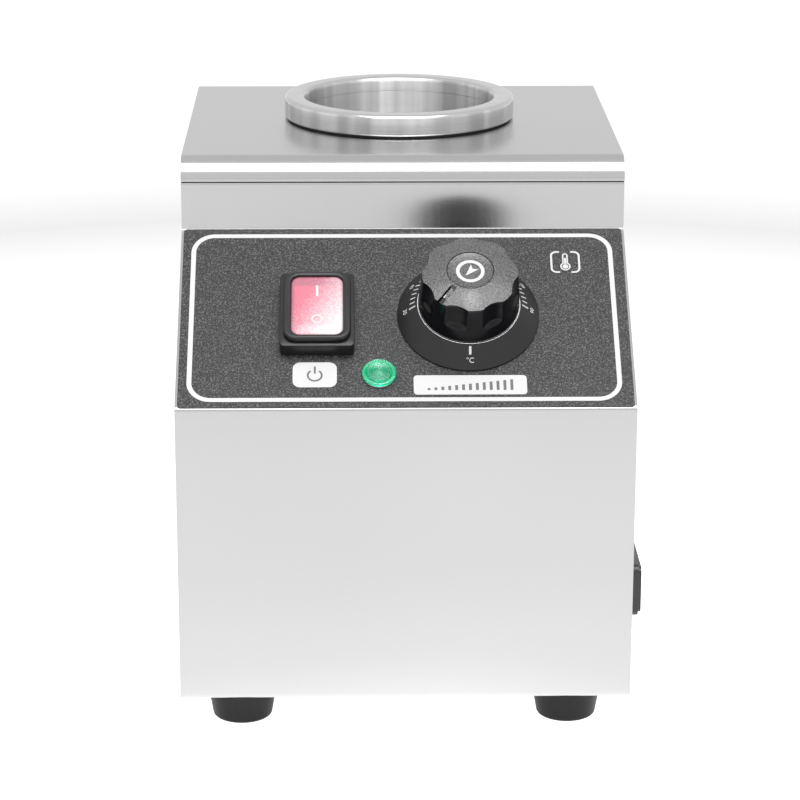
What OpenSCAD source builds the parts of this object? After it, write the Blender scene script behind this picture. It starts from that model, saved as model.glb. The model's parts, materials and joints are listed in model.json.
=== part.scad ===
// Single-well paraffin wax bath: a folded steel casing with a sloping control
// face at the front and a heated round well under a heavy steel collar.

/* [Casing] */
// Outer width of the casing
body_w = 180; // [150:1:240]
// Depth from the front face to the rear panel
body_d = 234; // [220:1:300]
// Height of the vertical face below the controls
front_h = 121; // [105:1:180]
// Height gained by the sloping control face
slope_h = 54; // [48:1:80]
// Depth taken by the sloping control face
slope_d = 75; // [66:1:85]
// Height of the plain strip between the controls and the top
strip_h = 29.25; // [18:0.25:60]
// Thickness of the steel sheet
sheet_t = 1; // [0.8:0.1:1.5]
// Inner radius of the sheet's folds
bend_r = 1; // [0.5:0.25:2]
// Outer radius of the rolled front edge of the top cover
lip_r = 9; // [4:0.5:9]
// Height of the top cover's front lip
lip_h = 9.4; // [8:0.1:14]
// Width of the joining flanges
flange_w = 10; // [8:0.5:14]

/* [Bath] */
// Inner radius of the well
bath_r = 40.5; // [30:0.5:50]
// Depth of the well below the top of the collar
bath_depth = 165; // [130:1:170]
// How far the well's axis lies behind the middle of the top
bath_back = 8.5; // [0:0.5:9]
// Thickness of the well's wall
pot_wall = 1; // [0.8:0.1:1.5]
// Outer radius of the collar, beyond the well's inner radius
collar_rim = 9; // [8:0.5:12]
// Height of the collar
collar_h = 9.25; // [6:0.25:16]
// Thickness of the gasket under the collar
gasket_t = 0.5; // [0.5:0.1:2]
// Height of the heater band
heater_h = 80; // [50:1:100]
// Thickness of the insulation
insulation_t = 11; // [6:0.5:12]

/* [Controls] */
// Sideways place of the temperature knob
knob_x = 25.3; // [22:0.1:40]
// Radius of the knob at its base
knob_r = 19.6; // [17:0.1:24]
// Height of the knob's top above the control face
knob_top = 28.6; // [25:0.1:34]
// Radius of the dial at the control face
dial_r = 28.25; // [26:0.25:32]
// Height of the dial's rim
dial_h = 8; // [6:0.5:10]
// Number of finger flutes round the knob
flute_count = 8; // [6:1:10]
// Angle of the knob's pointer from the off mark
pointer_angle = 40; // [0:1:270]
// Sideways place of the power switch
switch_x = -34.7; // [-48:0.1:-34]
// Outer width of the switch's splash frame
frame_w = 29.5; // [28:0.1:34]
// Outer length of the switch's splash frame
frame_l = 37.3; // [36:0.1:42]
// Tilt of the rocker each way from level
rocker_tilt = 9; // [6:0.5:10]
// Sideways place of the pilot lamp
lamp_x = -10.4; // [-14:0.1:-4]
// Place of the pilot lamp up the slope
lamp_v = 16.5; // [12:0.1:18]
// Radius of the pilot lamp's lens
lamp_r = 6.7; // [6:0.1:8]

/* [Inlet] */
// Distance of the power inlet's centre behind the front face
inlet_y = 40; // [34:1:60]
// Height of the power inlet's centre above the casing's bottom
inlet_z = 39.2; // [30:0.1:60]
// How far the inlet's flange stands proud of the side
inlet_proud = 5; // [3:0.1:6]
// Length of the inlet's flange
inlet_l = 50; // [46:1:54]
// Height of the inlet's flange
inlet_h = 21.6; // [21:0.1:26]

/* [Feet] */
// Height of the feet
foot_h = 16; // [10:1:24]
// Radius of a foot where it meets the casing
foot_r = 14.5; // [12:0.5:18]
// Radius of a foot on the table
foot_tip_r = 11.8; // [9:0.1:15]
// Distance of a foot's centre from the front, rear and sides
foot_inset = 24; // [20:1:30]

/* [Hidden] */

// Clearance between nested pieces, and between pieces that turn in each other
gap = 0.1;
run_gap = 0.4;
fine = 64;

base_z = foot_h;
slope_z = base_z + front_h;
strip_z = slope_z + slope_h;
top_z = strip_z + strip_h;
slope_len = norm([slope_d, slope_h]);
slope_tilt = atan2(slope_h, slope_d);

bath_y = (slope_d + body_d) / 2 + bath_back;
collar_r = bath_r + collar_rim;
collar_z = top_z + gasket_t;
collar_top = collar_z + collar_h;
collar_seat = 3;
pot_r = bath_r + pot_wall;
pot_floor = collar_top - bath_depth;
pot_base = 1.5;
stud_r = 1.5;
stud_ring = bath_r + collar_rim * 0.6;
stud_len = 12;

heater_z = pot_floor + 12;
heater_t = 3;
heater_r = pot_r + gap + heater_t;
heater_gap = 8;
ear_t = 1.2;
ear_len = 14;
sleeve_in = heater_r + gap;
sleeve_out = sleeve_in + insulation_t;
sleeve_open = 90;
jacket_t = 0.5;

// Screw sizes: shank radius, head radius, head height
m3 = [1.5, 2.8, 1.8];
m4 = [2, 3.8, 2.4];
m5 = [2.5, 4.6, 3.2];
hole_gap = 0.3;
nut_h = 2.4;

knob_v = slope_len / 2;
switch_v = slope_len / 2 - 1.3;
overlay_t = 0.4;
overlay_inset = 1.9;
dial_floor = 2;
dial_rim = knob_r + run_gap;
shaft_r = 3;
shaft_flat = 2.2;
shaft_top = 20;
knob_base = overlay_t + dial_floor + 0.6;
knob_shoulder = knob_top - 2;
cap_r = 9.2;
screw_pitch = 28;
stat_w = 36;
stat_l = 32;
stat_d = 24;

cutout_w = 22;
cutout_l = 30;
housing_w = 21.4;
housing_l = 29.4;
housing_d = 25;
housing_wall = 1;
bezel_w = 25.5;
bezel_l = 33;
bezel_t = 2.5;
rocker_w = 18.8;
rocker_r = 13.4;
rocker_axis_h = -1;
rocker_mid_h = 3.2;
arm_axis_h = -14.6;
arm_ratio = 0.8;
arm_t = 0.8;
arm_pivot_r = 0.9;
plunger_len = 11.3;
plunger_r = 1.2;
contact_y = 9;
contact_gap = 0.3;
frame_h = 7;
rim_h = 9.5;
rim_w = frame_w - 3;
rim_l = frame_l - 3;
window_w = rim_w - 6;
window_l = rim_l - 4.6;
membrane_h = 7.6;
membrane_t = 0.9;
tab = [6.3, 0.8, 9];

side_x = body_w / 2;
inlet_depth = 20;
socket_w = 24.4;
socket_h = 16.4;
socket_depth = 20;

screw_line = side_x - flange_w / 2 - sheet_t;
depth_all = body_d + sheet_t + m3[2];
// The origin is the middle of the whole object's box, at the table
origin = [inlet_proud / 2, depth_all / 2, 0];

// ---- Shared shapes -------------------------------------------------------

module made_of(finish) {
    color(finish) translate(-origin) children();
}

// Puts a yz outline across the casing, width long, centred on x = 0
module across(width) {
    translate([-width / 2, 0, 0]) rotate([90, 0, 90]) linear_extrude(width) children();
}

// A frame on the control face: x across, y up the slope, z outwards
module on_slope(x, v) {
    translate([x, v * cos(slope_tilt), slope_z + v * sin(slope_tilt)])
        rotate([slope_tilt, 0, 0]) children();
}

module at_bath() {
    translate([0, bath_y, 0]) children();
}

// A frame on the right side: x to the rear, y up, z outwards
module on_side(y, z) {
    translate([side_x, y, z]) rotate([90, 0, 90]) children();
}

function left_of(v) = [-v[1], v[0]];
function unit(v) = v / norm(v);
function turned(v, a) = [v[0] * cos(a) - v[1] * sin(a), v[0] * sin(a) + v[1] * cos(a)];
function arc(c, r, a0, a1, n = 8) =
    [for (i = [0:n]) c + r * [cos(a0 + (a1 - a0) * i / n), sin(a0 + (a1 - a0) * i / n)]];

// A closed outline with its outward corners rounded to radius r
function soften(pts, r) = let (n = len(pts)) [
    for (i = [0:n - 1])
        let (
            a = unit(pts[i] - pts[(i + n - 1) % n]),
            b = unit(pts[(i + 1) % n] - pts[i])
        ) each cross(a, b) > 0 ? fold(pts[i], a, b, 0, r, false) : [pts[i]]
];

// A closed outline moved inwards by d
function inset(pts, d) = let (n = len(pts)) [
    for (i = [0:n - 1])
        let (
            a = left_of(unit(pts[i] - pts[(i + n - 1) % n])),
            b = left_of(unit(pts[(i + 1) % n] - pts[i]))
        ) pts[i] + (a + b) * d / (1 + a * b)
];

// One fold of a sheet whose metal lies to the left of the path: outer or inner side
function fold(p, a, b, t, r, inner) =
    let (
        s = cross(a, b) > 0 ? 1 : -1,
        phi = acos(a * b),
        r_path = s > 0 ? r + t : r,
        r_side = inner ? (s > 0 ? r : r + t) : r_path,
        c = p - a * r_path * tan(phi / 2) + left_of(a) * r_path * s,
        n = max(4, ceil(r_path * 3))
    ) [for (i = [0:n]) c - s * r_side * turned(left_of(a), s * phi * i / n)];

// The section of a folded sheet from its outer path and each fold's inner radius
function sheet(pts, t, radii) =
    let (
        n = len(pts),
        dirs = [for (i = [0:n - 2]) unit(pts[i + 1] - pts[i])],
        outer = [for (i = [1:n - 2]) each fold(pts[i], dirs[i - 1], dirs[i], t, radii[i - 1], false)],
        inner = [for (i = [n - 2:-1:1]) let (f = fold(pts[i], dirs[i - 1], dirs[i], t, radii[i - 1], true))
            each [for (k = [len(f) - 1:-1:0]) f[k]]]
    ) concat([pts[0]], outer, [pts[n - 1], pts[n - 1] + left_of(dirs[n - 2]) * t],
             inner, [pts[0] + left_of(dirs[0]) * t]);

// The casing's side outline, cut back under the rolled front edge
casing_outline = [
    [0, base_z], [body_d, base_z], [body_d, top_z], [slope_d + lip_r, top_z],
    [slope_d, top_z - lip_r], [slope_d, strip_z], [0, slope_z]
];

// A plate with rounded corners, centred, from z up to z + h
module rounded_plate(w, l, h, r) {
    translate([-w / 2 + r, -l / 2, 0]) cube([w - 2 * r, l, h]);
    translate([-w / 2, -l / 2 + r, 0]) cube([w, l - 2 * r, h]);
    for (x = [-1, 1], y = [-1, 1])
        translate([x * (w / 2 - r), y * (l / 2 - r), 0]) cylinder(h = h, r = r, $fn = fine);
}

// A slot with round ends, cut along z
module slot(l, w, h) {
    for (s = [-1, 1]) translate([s * (l - w) / 2, 0, 0]) cylinder(h = h, d = w, center = true, $fn = 24);
    cube([l - w, w, h], center = true);
}

// A pan-head screw with a cross recess: the head stands on z = 0 and the shank goes down
module pan_screw(size, len) {
    difference() {
        union() {
            translate([0, 0, -len]) cylinder(h = len + 0.01, r = size[0], $fn = 32);
            cylinder(h = size[2], r1 = size[1], r2 = size[1] * 0.8, $fn = 32);
        }
        for (a = [0, 90]) rotate([0, 0, a])
            translate([0, 0, size[2]]) cube([size[1] * 1.1, size[1] * 0.28, size[2]], center = true);
    }
}

// A hexagon nut on z = 0
module hex_nut(size, h) {
    difference() {
        cylinder(h = h, r = size[0] * 2, $fn = 6);
        translate([0, 0, -1]) cylinder(h = h + 2, r = size[0] + gap, $fn = 32);
    }
}

// A smooth path through hand-placed points, with its first and last stretches straight
function spline(p, a, b, c, t) =
    0.5 * (2 * a + (b - p) * t + (2 * p - 5 * a + 4 * b - c) * t * t + (3 * a - p - 3 * b + c) * t * t * t);
function route(pts, n) = let (last = len(pts) - 1) concat([pts[0]], [
    for (i = [1:last - 2], k = [0:n - 1]) spline(pts[i - 1], pts[i], pts[i + 1], pts[i + 2], k / n)
], [pts[last - 1], pts[last]]);

// A round wire swept along a route; ref is a direction that the route never follows
module wire(pts, r, ref, n = 4) {
    path = route(pts, n);
    sides = 6;
    last = len(path) - 1;
    rings = [
        for (i = [0:last])
            let (
                d = unit(path[min(i + 1, last)] - path[max(i - 1, 0)]),
                u = unit(cross(d, ref)),
                v = cross(d, u)
            ) each [for (k = [0:sides - 1]) path[i] + r * (cos(360 * k / sides) * u + sin(360 * k / sides) * v)]
    ];
    walls = [
        for (i = [0:last - 1], k = [0:sides - 1])
            let (a = i * sides + k, b = i * sides + (k + 1) % sides)
                each [[a, a + sides, b + sides], [a, b + sides, b]]
    ];
    start = [[for (k = [0:sides - 1]) k]];
    end = [[for (k = [sides - 1:-1:0]) last * sides + k]];
    polyhedron(rings, concat(walls, start, end));
}

// ---- Casing --------------------------------------------------------------

module control_holes(grow = 0) {
    on_slope(switch_x, switch_v)
        cube([cutout_w + grow, cutout_l + grow, 4 * sheet_t], center = true);
    on_slope(lamp_x, lamp_v) cylinder(h = 4 * sheet_t, r = 5 + grow / 2, center = true, $fn = fine);
    on_slope(knob_x, knob_v) {
        cylinder(h = 4 * sheet_t, r = 5 + grow / 2, center = true, $fn = fine);
        for (s = [-1, 1]) translate([s * screw_pitch / 2, 0, 0])
            cylinder(h = 4 * sheet_t, r = m4[0] + hole_gap + grow / 2, center = true, $fn = 32);
    }
}

// Clears a folded flange's two ends, so that it passes between the side panels' flanges
module flange_ends(y, z, d, h) {
    for (s = [-1, 1]) translate([s * side_x - flange_w - gap, y, z]) cube([2 * flange_w + 2 * gap, d, h]);
}

module front_panel() {
    made_of("lightgray") difference() {
        across(body_w) polygon(sheet([
            [slope_d + flange_w, top_z - lip_r], [slope_d, top_z - lip_r], [slope_d, strip_z],
            [0, slope_z], [0, base_z], [flange_w + 2, base_z]
        ], sheet_t, [for (i = [1:4]) bend_r]));
        flange_ends(slope_d + sheet_t, top_z - lip_r - bend_r - 2 * sheet_t, flange_w + 1, lip_r);
        control_holes();
    }
}

module side_panel() {
    difference() {
        translate([side_x - flange_w / 2, 0, 0]) across(flange_w)
            polygon(soften(inset(casing_outline, sheet_t), bend_r));
        translate([side_x - flange_w / 2 - sheet_t, 0, 0])
            across(flange_w + gap) polygon(inset(casing_outline, 2 * sheet_t));
        side_screw_places() cylinder(h = 6, r = m3[0] + hole_gap, center = true, $fn = 32);
        rear_screw_places() cylinder(h = 6, r = m3[0] + hole_gap, center = true, $fn = 32);
    }
}

module side_panel_left() {
    made_of("lightgray") mirror([1, 0, 0]) side_panel();
}

module side_panel_right() {
    made_of("lightgray") difference() {
        side_panel();
        on_side(inlet_y, base_z + inlet_z) {
            cube([28.6, 20.6, 3 * sheet_t], center = true);
            for (s = [-1, 1]) translate([s * 20, 0, 0])
                cylinder(h = 3 * sheet_t, r = m3[0] + hole_gap, center = true, $fn = 32);
        }
    }
}

// The right-hand screws under the casing and up the rear; the left ones are mirrored
module side_screw_places() {
    for (y = [0.25, 0.5, 0.75]) translate([screw_line, body_d * y, base_z]) rotate([180, 0, 0]) children();
}

module rear_screw_places() {
    for (z = [base_z + 20, (base_z + top_z) / 2, top_z - 24])
        translate([screw_line, body_d, z]) rotate([-90, 0, 0]) children();
}

module both_sides() {
    children();
    mirror([1, 0, 0]) children();
}

module rear_panel() {
    made_of("lightgray") difference() {
        across(body_w) polygon(sheet([
            [body_d - flange_w - 2, base_z], [body_d, base_z], [body_d, top_z - sheet_t],
            [body_d - flange_w, top_z - sheet_t]
        ], sheet_t, [bend_r, bend_r]));
        flange_ends(body_d - flange_w - 1, top_z - bend_r - 3 * sheet_t, flange_w + 1 - sheet_t,
                    bend_r + 3 * sheet_t);
        both_sides() rear_screw_places() cylinder(h = 6, r = m3[0] + hole_gap, center = true, $fn = 32);
        cover_screw_places() cylinder(h = 6, r = m3[0] + hole_gap, center = true, $fn = 32);
        for (x = [-1, 1], i = [0:7])
            translate([x * 30, body_d, base_z + 28 + 8 * i]) rotate([90, 0, 0]) slot(40, 3, 6);
        rivet_places() cylinder(h = 6, r = 1.1, center = true, $fn = 24);
    }
}

module base_plate() {
    made_of("lightgray") difference() {
        translate([-side_x, flange_w + 2.2, base_z])
            cube([body_w, body_d - 2 * flange_w - 4.4, sheet_t]);
        both_sides() side_screw_places() cylinder(h = 6, r = m3[0] + hole_gap, center = true, $fn = 32);
        foot_places() cylinder(h = 60, r = m5[0] + hole_gap, center = true, $fn = 32);
        for (i = [-5:5]) translate([i * 9, bath_y, base_z]) rotate([0, 0, 90]) slot(60, 3, 6);
        translate([block_at[0], block_at[1], base_z]) for (s = [-1, 1]) translate([s * block_pitch / 2, 0, 0])
            cylinder(h = 6, r = m3[0] + gap, center = true, $fn = 32);
        translate([stud_at[0], stud_at[1], base_z]) cylinder(h = 6, r = m4[0] + gap, center = true, $fn = 32);
    }
}

module stud_places() {
    at_bath() for (a = [45:90:315]) rotate([0, 0, a]) translate([stud_ring, 0, 0]) children();
}

module top_cover() {
    made_of("silver") difference() {
        across(body_w) polygon(sheet([
            [body_d + sheet_t, top_z - flange_w], [body_d + sheet_t, top_z],
            [slope_d - sheet_t, top_z], [slope_d - sheet_t, top_z - lip_h]
        ], sheet_t, [bend_r, lip_r - sheet_t]));
        at_bath() translate([0, 0, top_z]) cylinder(h = 6, r = pot_r + 1.4, center = true, $fn = fine);
        stud_places() translate([0, 0, top_z]) cylinder(h = 6, r = stud_r + hole_gap, center = true, $fn = 32);
        cover_screw_places() cylinder(h = 6, r = m3[0] + hole_gap, center = true, $fn = 32);
    }
}

module cover_screw_places() {
    for (s = [-1, 1]) translate([s * body_w / 3, body_d + sheet_t, top_z - flange_w / 2 - 1.5])
        rotate([-90, 0, 0]) children();
}

module control_overlay() {
    made_of("dimgray") difference() {
        on_slope(0, slope_len / 2)
            rounded_plate(body_w - 2 * overlay_inset, slope_len - 2.4, overlay_t, 1);
        control_holes(0.6);
    }
}

module rating_plate() {
    made_of("gainsboro") difference() {
        translate([0, body_d, top_z - 48]) rotate([-90, 0, 0]) rounded_plate(64, 40, 0.6, 2);
        rivet_places() cylinder(h = 6, r = 1.1, center = true, $fn = 24);
    }
}

module rivet_places() {
    for (x = [-1, 1], z = [-1, 1])
        translate([x * 29, body_d + 0.6, top_z - 48 + z * 17]) rotate([-90, 0, 0]) children();
}

module rating_plate_rivets() {
    made_of("silver") rivet_places() {
        cylinder(h = 0.8, r1 = 1.9, r2 = 1.3, $fn = 32);
        translate([0, 0, -3]) cylinder(h = 3.01, r = 1, $fn = 32);
    }
}

module rear_screws() {
    made_of("silver") both_sides() rear_screw_places() pan_screw(m3, 7);
}

module base_screws() {
    made_of("silver") both_sides() side_screw_places() pan_screw(m3, 7);
}

module cover_screws() {
    made_of("silver") cover_screw_places() pan_screw(m3, 6);
}

// ---- Feet ----------------------------------------------------------------

module foot_places() {
    for (x = [-1, 1], y = [foot_inset, body_d - foot_inset])
        translate([x * (side_x - foot_inset), y, 0]) children();
}

module foot(x, y) {
    head_room = foot_h * 0.5;
    edge = 1.5;
    made_of("#242424") translate([x * (side_x - foot_inset), y, 0]) difference() {
        rotate_extrude($fn = fine) polygon(concat(
            [[0, 0]],
            arc([foot_tip_r - edge, edge], edge, -90, -10),
            [[foot_r, foot_h - 1.5], [foot_r, foot_h], [0, foot_h]]
        ));
        translate([0, 0, -1]) cylinder(h = foot_h + 2, r = m5[0] + hole_gap, $fn = 32);
        translate([0, 0, -1]) cylinder(h = head_room + 1, r = m5[1] + 0.8, $fn = 32);
    }
}

module foot_front_left() foot(-1, foot_inset);
module foot_front_right() foot(1, foot_inset);
module foot_rear_left() foot(-1, body_d - foot_inset);
module foot_rear_right() foot(1, body_d - foot_inset);

module foot_screws() {
    made_of("silver") foot_places() translate([0, 0, foot_h * 0.5]) rotate([180, 0, 0])
        pan_screw(m5, foot_h * 0.5 + sheet_t + nut_h + 3);
}

module foot_nuts() {
    made_of("silver") foot_places() translate([0, 0, base_z + sheet_t]) hex_nut(m5, nut_h + 1);
}

// ---- Bath ----------------------------------------------------------------

module bath_pot() {
    corner = 6;
    boss_h = 5;
    made_of("silver") at_bath() {
        rotate_extrude($fn = 96) polygon(concat(
            [[0, pot_floor - pot_base]],
            arc([pot_r - corner - pot_wall, pot_floor - pot_base + corner + pot_wall], corner + pot_wall, -90, 0),
            [[pot_r, collar_z + collar_seat - gap], [bath_r, collar_z + collar_seat - gap]],
            arc([bath_r - corner, pot_floor + corner], corner, 0, -90),
            [[0, pot_floor]]
        ));
        for (s = [-1, 1]) translate([s * 14, 0, pot_floor - pot_base - boss_h]) difference() {
            cylinder(h = boss_h + 0.5, r = 3.5, $fn = 32);
            translate([0, 0, -1]) cylinder(h = boss_h, r = m3[0] + gap, $fn = 32);
        }
    }
}

module collar_ring() {
    soft = 2;
    foot_edge = 1.2;
    made_of("silver") at_bath() rotate_extrude($fn = 96) polygon(concat(
        [[pot_r + gap, collar_z]],
        arc([collar_r - foot_edge, collar_z + foot_edge], foot_edge, -90, 0),
        arc([collar_r - soft, collar_top - soft], soft, 0, 90),
        arc([bath_r + soft, collar_top - soft], soft, 90, 180),
        [[bath_r, collar_z + collar_seat], [pot_r + gap, collar_z + collar_seat]]
    ));
}

module collar_gasket() {
    made_of("#222222") difference() {
        at_bath() translate([0, 0, top_z]) difference() {
            cylinder(h = gasket_t, r = collar_r - 1.3, $fn = fine);
            translate([0, 0, -1]) cylinder(h = gasket_t + 2, r = pot_r + 0.6, $fn = fine);
        }
        stud_places() translate([0, 0, top_z]) cylinder(h = 6, r = stud_r + hole_gap, center = true, $fn = 32);
    }
}

module collar_studs() {
    made_of("silver") stud_places() translate([0, 0, collar_z - stud_len]) cylinder(h = stud_len, r = stud_r, $fn = 32);
}

module collar_nuts() {
    made_of("silver") stud_places() translate([0, 0, top_z - sheet_t - nut_h]) hex_nut([stud_r, 0, 0], nut_h);
}

module heater_band() {
    made_of("darkkhaki") at_bath() {
        difference() {
            translate([0, 0, heater_z]) cylinder(h = heater_h, r = heater_r, $fn = 96);
            translate([0, 0, heater_z - 1]) cylinder(h = heater_h + 2, r = pot_r + gap, $fn = 96);
            translate([-heater_gap / 2, -2 * heater_r, heater_z - 1]) cube([heater_gap, 2 * heater_r, heater_h + 2]);
        }
        for (s = [-1, 1]) translate([s * (heater_gap + ear_t) / 2, 0, 0]) difference() {
            translate([-ear_t / 2, -heater_r - ear_len + 1.5, heater_z]) cube([ear_t, ear_len, heater_h]);
            clamp_places() cylinder(h = 20, r = m3[0] + hole_gap, center = true, $fn = 32);
        }
    }
}

module clamp_places() {
    for (z = [0.25, 0.75]) translate([0, -heater_r - ear_len / 2 - 1, heater_z + heater_h * z])
        rotate([0, 90, 0]) children();
}

module heater_clamp_screws() {
    reach = heater_gap / 2 + ear_t;
    made_of("silver") at_bath() clamp_places() {
        translate([0, 0, reach]) pan_screw(m3, 2 * reach + nut_h + 2);
        translate([0, 0, -reach - nut_h]) hex_nut(m3, nut_h);
    }
}

// The band's two terminals stand out at the front left, in the sleeve's opening
terminal_angles = [-112, -126];
terminal_len = 8;

module heater_terminals() {
    made_of("ivory") at_bath() for (a = terminal_angles)
        rotate([0, 0, a]) translate([heater_r + gap / 2, 0, heater_z + heater_h - 14]) rotate([0, 90, 0]) {
            cylinder(h = 4, r = 3.4, $fn = 32);
            cylinder(h = terminal_len, r = 1.6, $fn = 32);
        }
}

// A tube round the bath, open towards the controls
module open_tube(r0, r1, z, h) {
    reach = r1 * 2;
    difference() {
        translate([0, 0, z]) cylinder(h = h, r = r1, $fn = 96);
        translate([0, 0, z - 1]) cylinder(h = h + 2, r = r0, $fn = 96);
        translate([0, 0, z - 1]) linear_extrude(h + 2)
            polygon([[0, 0], reach * turned([0, -1], -sleeve_open / 2), reach * turned([0, -1], sleeve_open / 2)]);
    }
}

module insulation_sleeve() {
    made_of("wheat") at_bath()
        open_tube(sleeve_in, sleeve_out, heater_z - 8, top_z - 20 - heater_z + 8);
}

module insulation_jacket() {
    made_of("silver") at_bath()
        open_tube(sleeve_out + gap, sleeve_out + gap + jacket_t, heater_z - 8, top_z - 20 - heater_z + 8);
}

// The over-temperature cut-out hangs from two bosses under the well
cutout_z = pot_floor - pot_base - 5;

module limit_cutout() {
    made_of("saddlebrown") at_bath() {
        difference() {
            translate([-18, -5, cutout_z - 1]) cube([36, 10, 1]);
            for (s = [-1, 1]) translate([s * 14, 0, cutout_z - 2]) cylinder(h = 4, r = m3[0] + hole_gap, $fn = 32);
        }
        translate([0, 0, cutout_z - 8]) cylinder(h = 7.01, r = 8.2, $fn = fine);
        translate([0, 0, cutout_z]) cylinder(h = 4.5, r = 8.2, $fn = fine);
        for (s = [-1, 1]) translate([s * 5 - tab[1] / 2, -tab[0] / 2, cutout_z - 15]) cube([tab[1], tab[0], 7.01]);
    }
}

module cutout_screws() {
    made_of("silver") at_bath() for (s = [-1, 1])
        translate([s * 14, 0, cutout_z - 1]) rotate([180, 0, 0]) pan_screw(m3, 4);
}

// ---- Thermostat and knob -------------------------------------------------

module thermostat_body() {
    made_of("gray") on_slope(knob_x, knob_v) difference() {
        union() {
            translate([-stat_w / 2, -stat_l / 2, -sheet_t - stat_d]) cube([stat_w, stat_l, stat_d - 2]);
            translate([-stat_w / 2 + 2, -stat_l / 2 + 4, -sheet_t - 2.01]) cube([stat_w - 4, stat_l - 8, 2.01]);
            translate([0, 0, -sheet_t - stat_d - 4]) cylinder(h = 4.01, r = 9, $fn = fine);
            for (s = [-1, 1]) translate([s * 13 - tab[1] / 2, -tab[0] / 2, -sheet_t - stat_d - tab[2]])
                cube([tab[1], tab[0], tab[2] + 0.01]);
        }
        translate([0, 0, -sheet_t - 14]) cylinder(h = 20, r = shaft_r + gap / 2, $fn = 48);
        for (s = [-1, 1]) translate([s * screw_pitch / 2, 0, -sheet_t - 9])
            cylinder(h = 12, r = m4[0] + gap, $fn = 32);
    }
}

module d_section(r, flat, h) {
    intersection() {
        cylinder(h = h, r = r, $fn = 48);
        translate([-2 * r, -2 * r, 0]) cube([4 * r, 2 * r + flat, h]);
    }
}

// The knob and its shaft are drawn with the pointer at the off mark and turned to the resting angle
module turned_knob() {
    on_slope(knob_x, knob_v) rotate([0, 0, -pointer_angle]) children();
}

module thermostat_shaft() {
    made_of("silver") turned_knob() {
        translate([0, 0, -sheet_t - 13]) cylinder(h = 13 + sheet_t + knob_base + 3, r = shaft_r, $fn = 48);
        translate([0, 0, knob_base + 3 - 0.01]) d_section(shaft_r, shaft_flat, shaft_top - knob_base - 3);
    }
}

module thermostat_screws() {
    made_of("silver") on_slope(knob_x, knob_v) for (s = [-1, 1])
        translate([s * screw_pitch / 2, 0, overlay_t + dial_floor]) difference() {
            union() {
                translate([0, 0, -1.9]) cylinder(h = 1.9, r1 = m4[0], r2 = m4[1], $fn = 32);
                translate([0, 0, -9]) cylinder(h = 7.2, r = m4[0], $fn = 32);
            }
            cube([2 * m4[1] + 1, 1, 1.4], center = true);
        }
}

// The sensing bulb lies against the heater band, right of its clamp
bulb_r = 3;
bulb_len = 62;
bulb_angle = -64;
bulb_z = heater_z + 8;
bulb_ring = heater_r + bulb_r + gap;

module thermostat_bulb() {
    made_of("peru") at_bath() rotate([0, 0, bulb_angle]) translate([bulb_ring, 0, bulb_z]) {
        cylinder(h = bulb_len, r = bulb_r, $fn = 32);
        translate([0, 0, bulb_len - 0.01]) cylinder(h = 4, r1 = bulb_r, r2 = capillary_r + 0.2, $fn = 32);
    }
}

module bulb_clip() {
    wall = 0.6;
    made_of("silver") at_bath() rotate([0, 0, bulb_angle]) for (z = [12, 42])
        translate([0, 0, bulb_z + z]) difference() {
            union() {
                translate([bulb_ring, 0, 0]) cylinder(h = 8, r = bulb_r + gap + wall, $fn = 32);
                translate([heater_r + gap, -9, 0]) cube([wall, 18, 8]);
            }
            translate([bulb_ring, 0, -1]) cylinder(h = 10, r = bulb_r + gap, $fn = 32);
            translate([0, 0, -1]) cylinder(h = 10, r = heater_r + gap / 2, $fn = 96);
        }
}

capillary_r = 0.9;

module capillary_tube() {
    bulb_top = [bulb_ring * cos(bulb_angle), bath_y + bulb_ring * sin(bulb_angle), bulb_z + bulb_len + 4];
    rear = -sheet_t - stat_d - 4;
    from = slope_point(knob_x, knob_v, rear);
    made_of("peru") wire([
        from, slope_point(knob_x, knob_v, rear - 6), from + [4, 16, -8], (from + bulb_top) / 2 + [8, 0, 4],
        bulb_top + [4, -8, 14], bulb_top + [0, 0, 6], bulb_top
    ], capillary_r, [1, 0, 0]);
}

module dial_skirt() {
    floor_z = overlay_t;
    wall = 1.6;
    made_of("#2b2b2b") on_slope(knob_x, knob_v) difference() {
        rotate_extrude($fn = 128) polygon([
            [0, floor_z], [dial_r, floor_z], [dial_r, floor_z + 0.8], [dial_rim + 0.5, dial_h],
            [dial_rim, dial_h], [dial_rim, floor_z + dial_floor], [0, floor_z + dial_floor]
        ]);
        rotate_extrude($fn = 128) polygon([
            [dial_rim + wall, floor_z - 1], [dial_r - wall, floor_z - 1], [dial_r - wall, floor_z + 0.4],
            [dial_rim + wall, dial_h - 2 * wall]
        ]);
        translate([0, 0, -1]) cylinder(h = 6, r = 5, $fn = 48);
        for (s = [-1, 1]) translate([s * screw_pitch / 2, 0, 0]) {
            cylinder(h = 6, r = m4[0] + gap, $fn = 32);
            translate([0, 0, floor_z + dial_floor - 1.9])
                cylinder(h = 2, r1 = m4[0] + gap, r2 = m4[1] + 2 * gap, $fn = 32);
        }
    }
}

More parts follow.
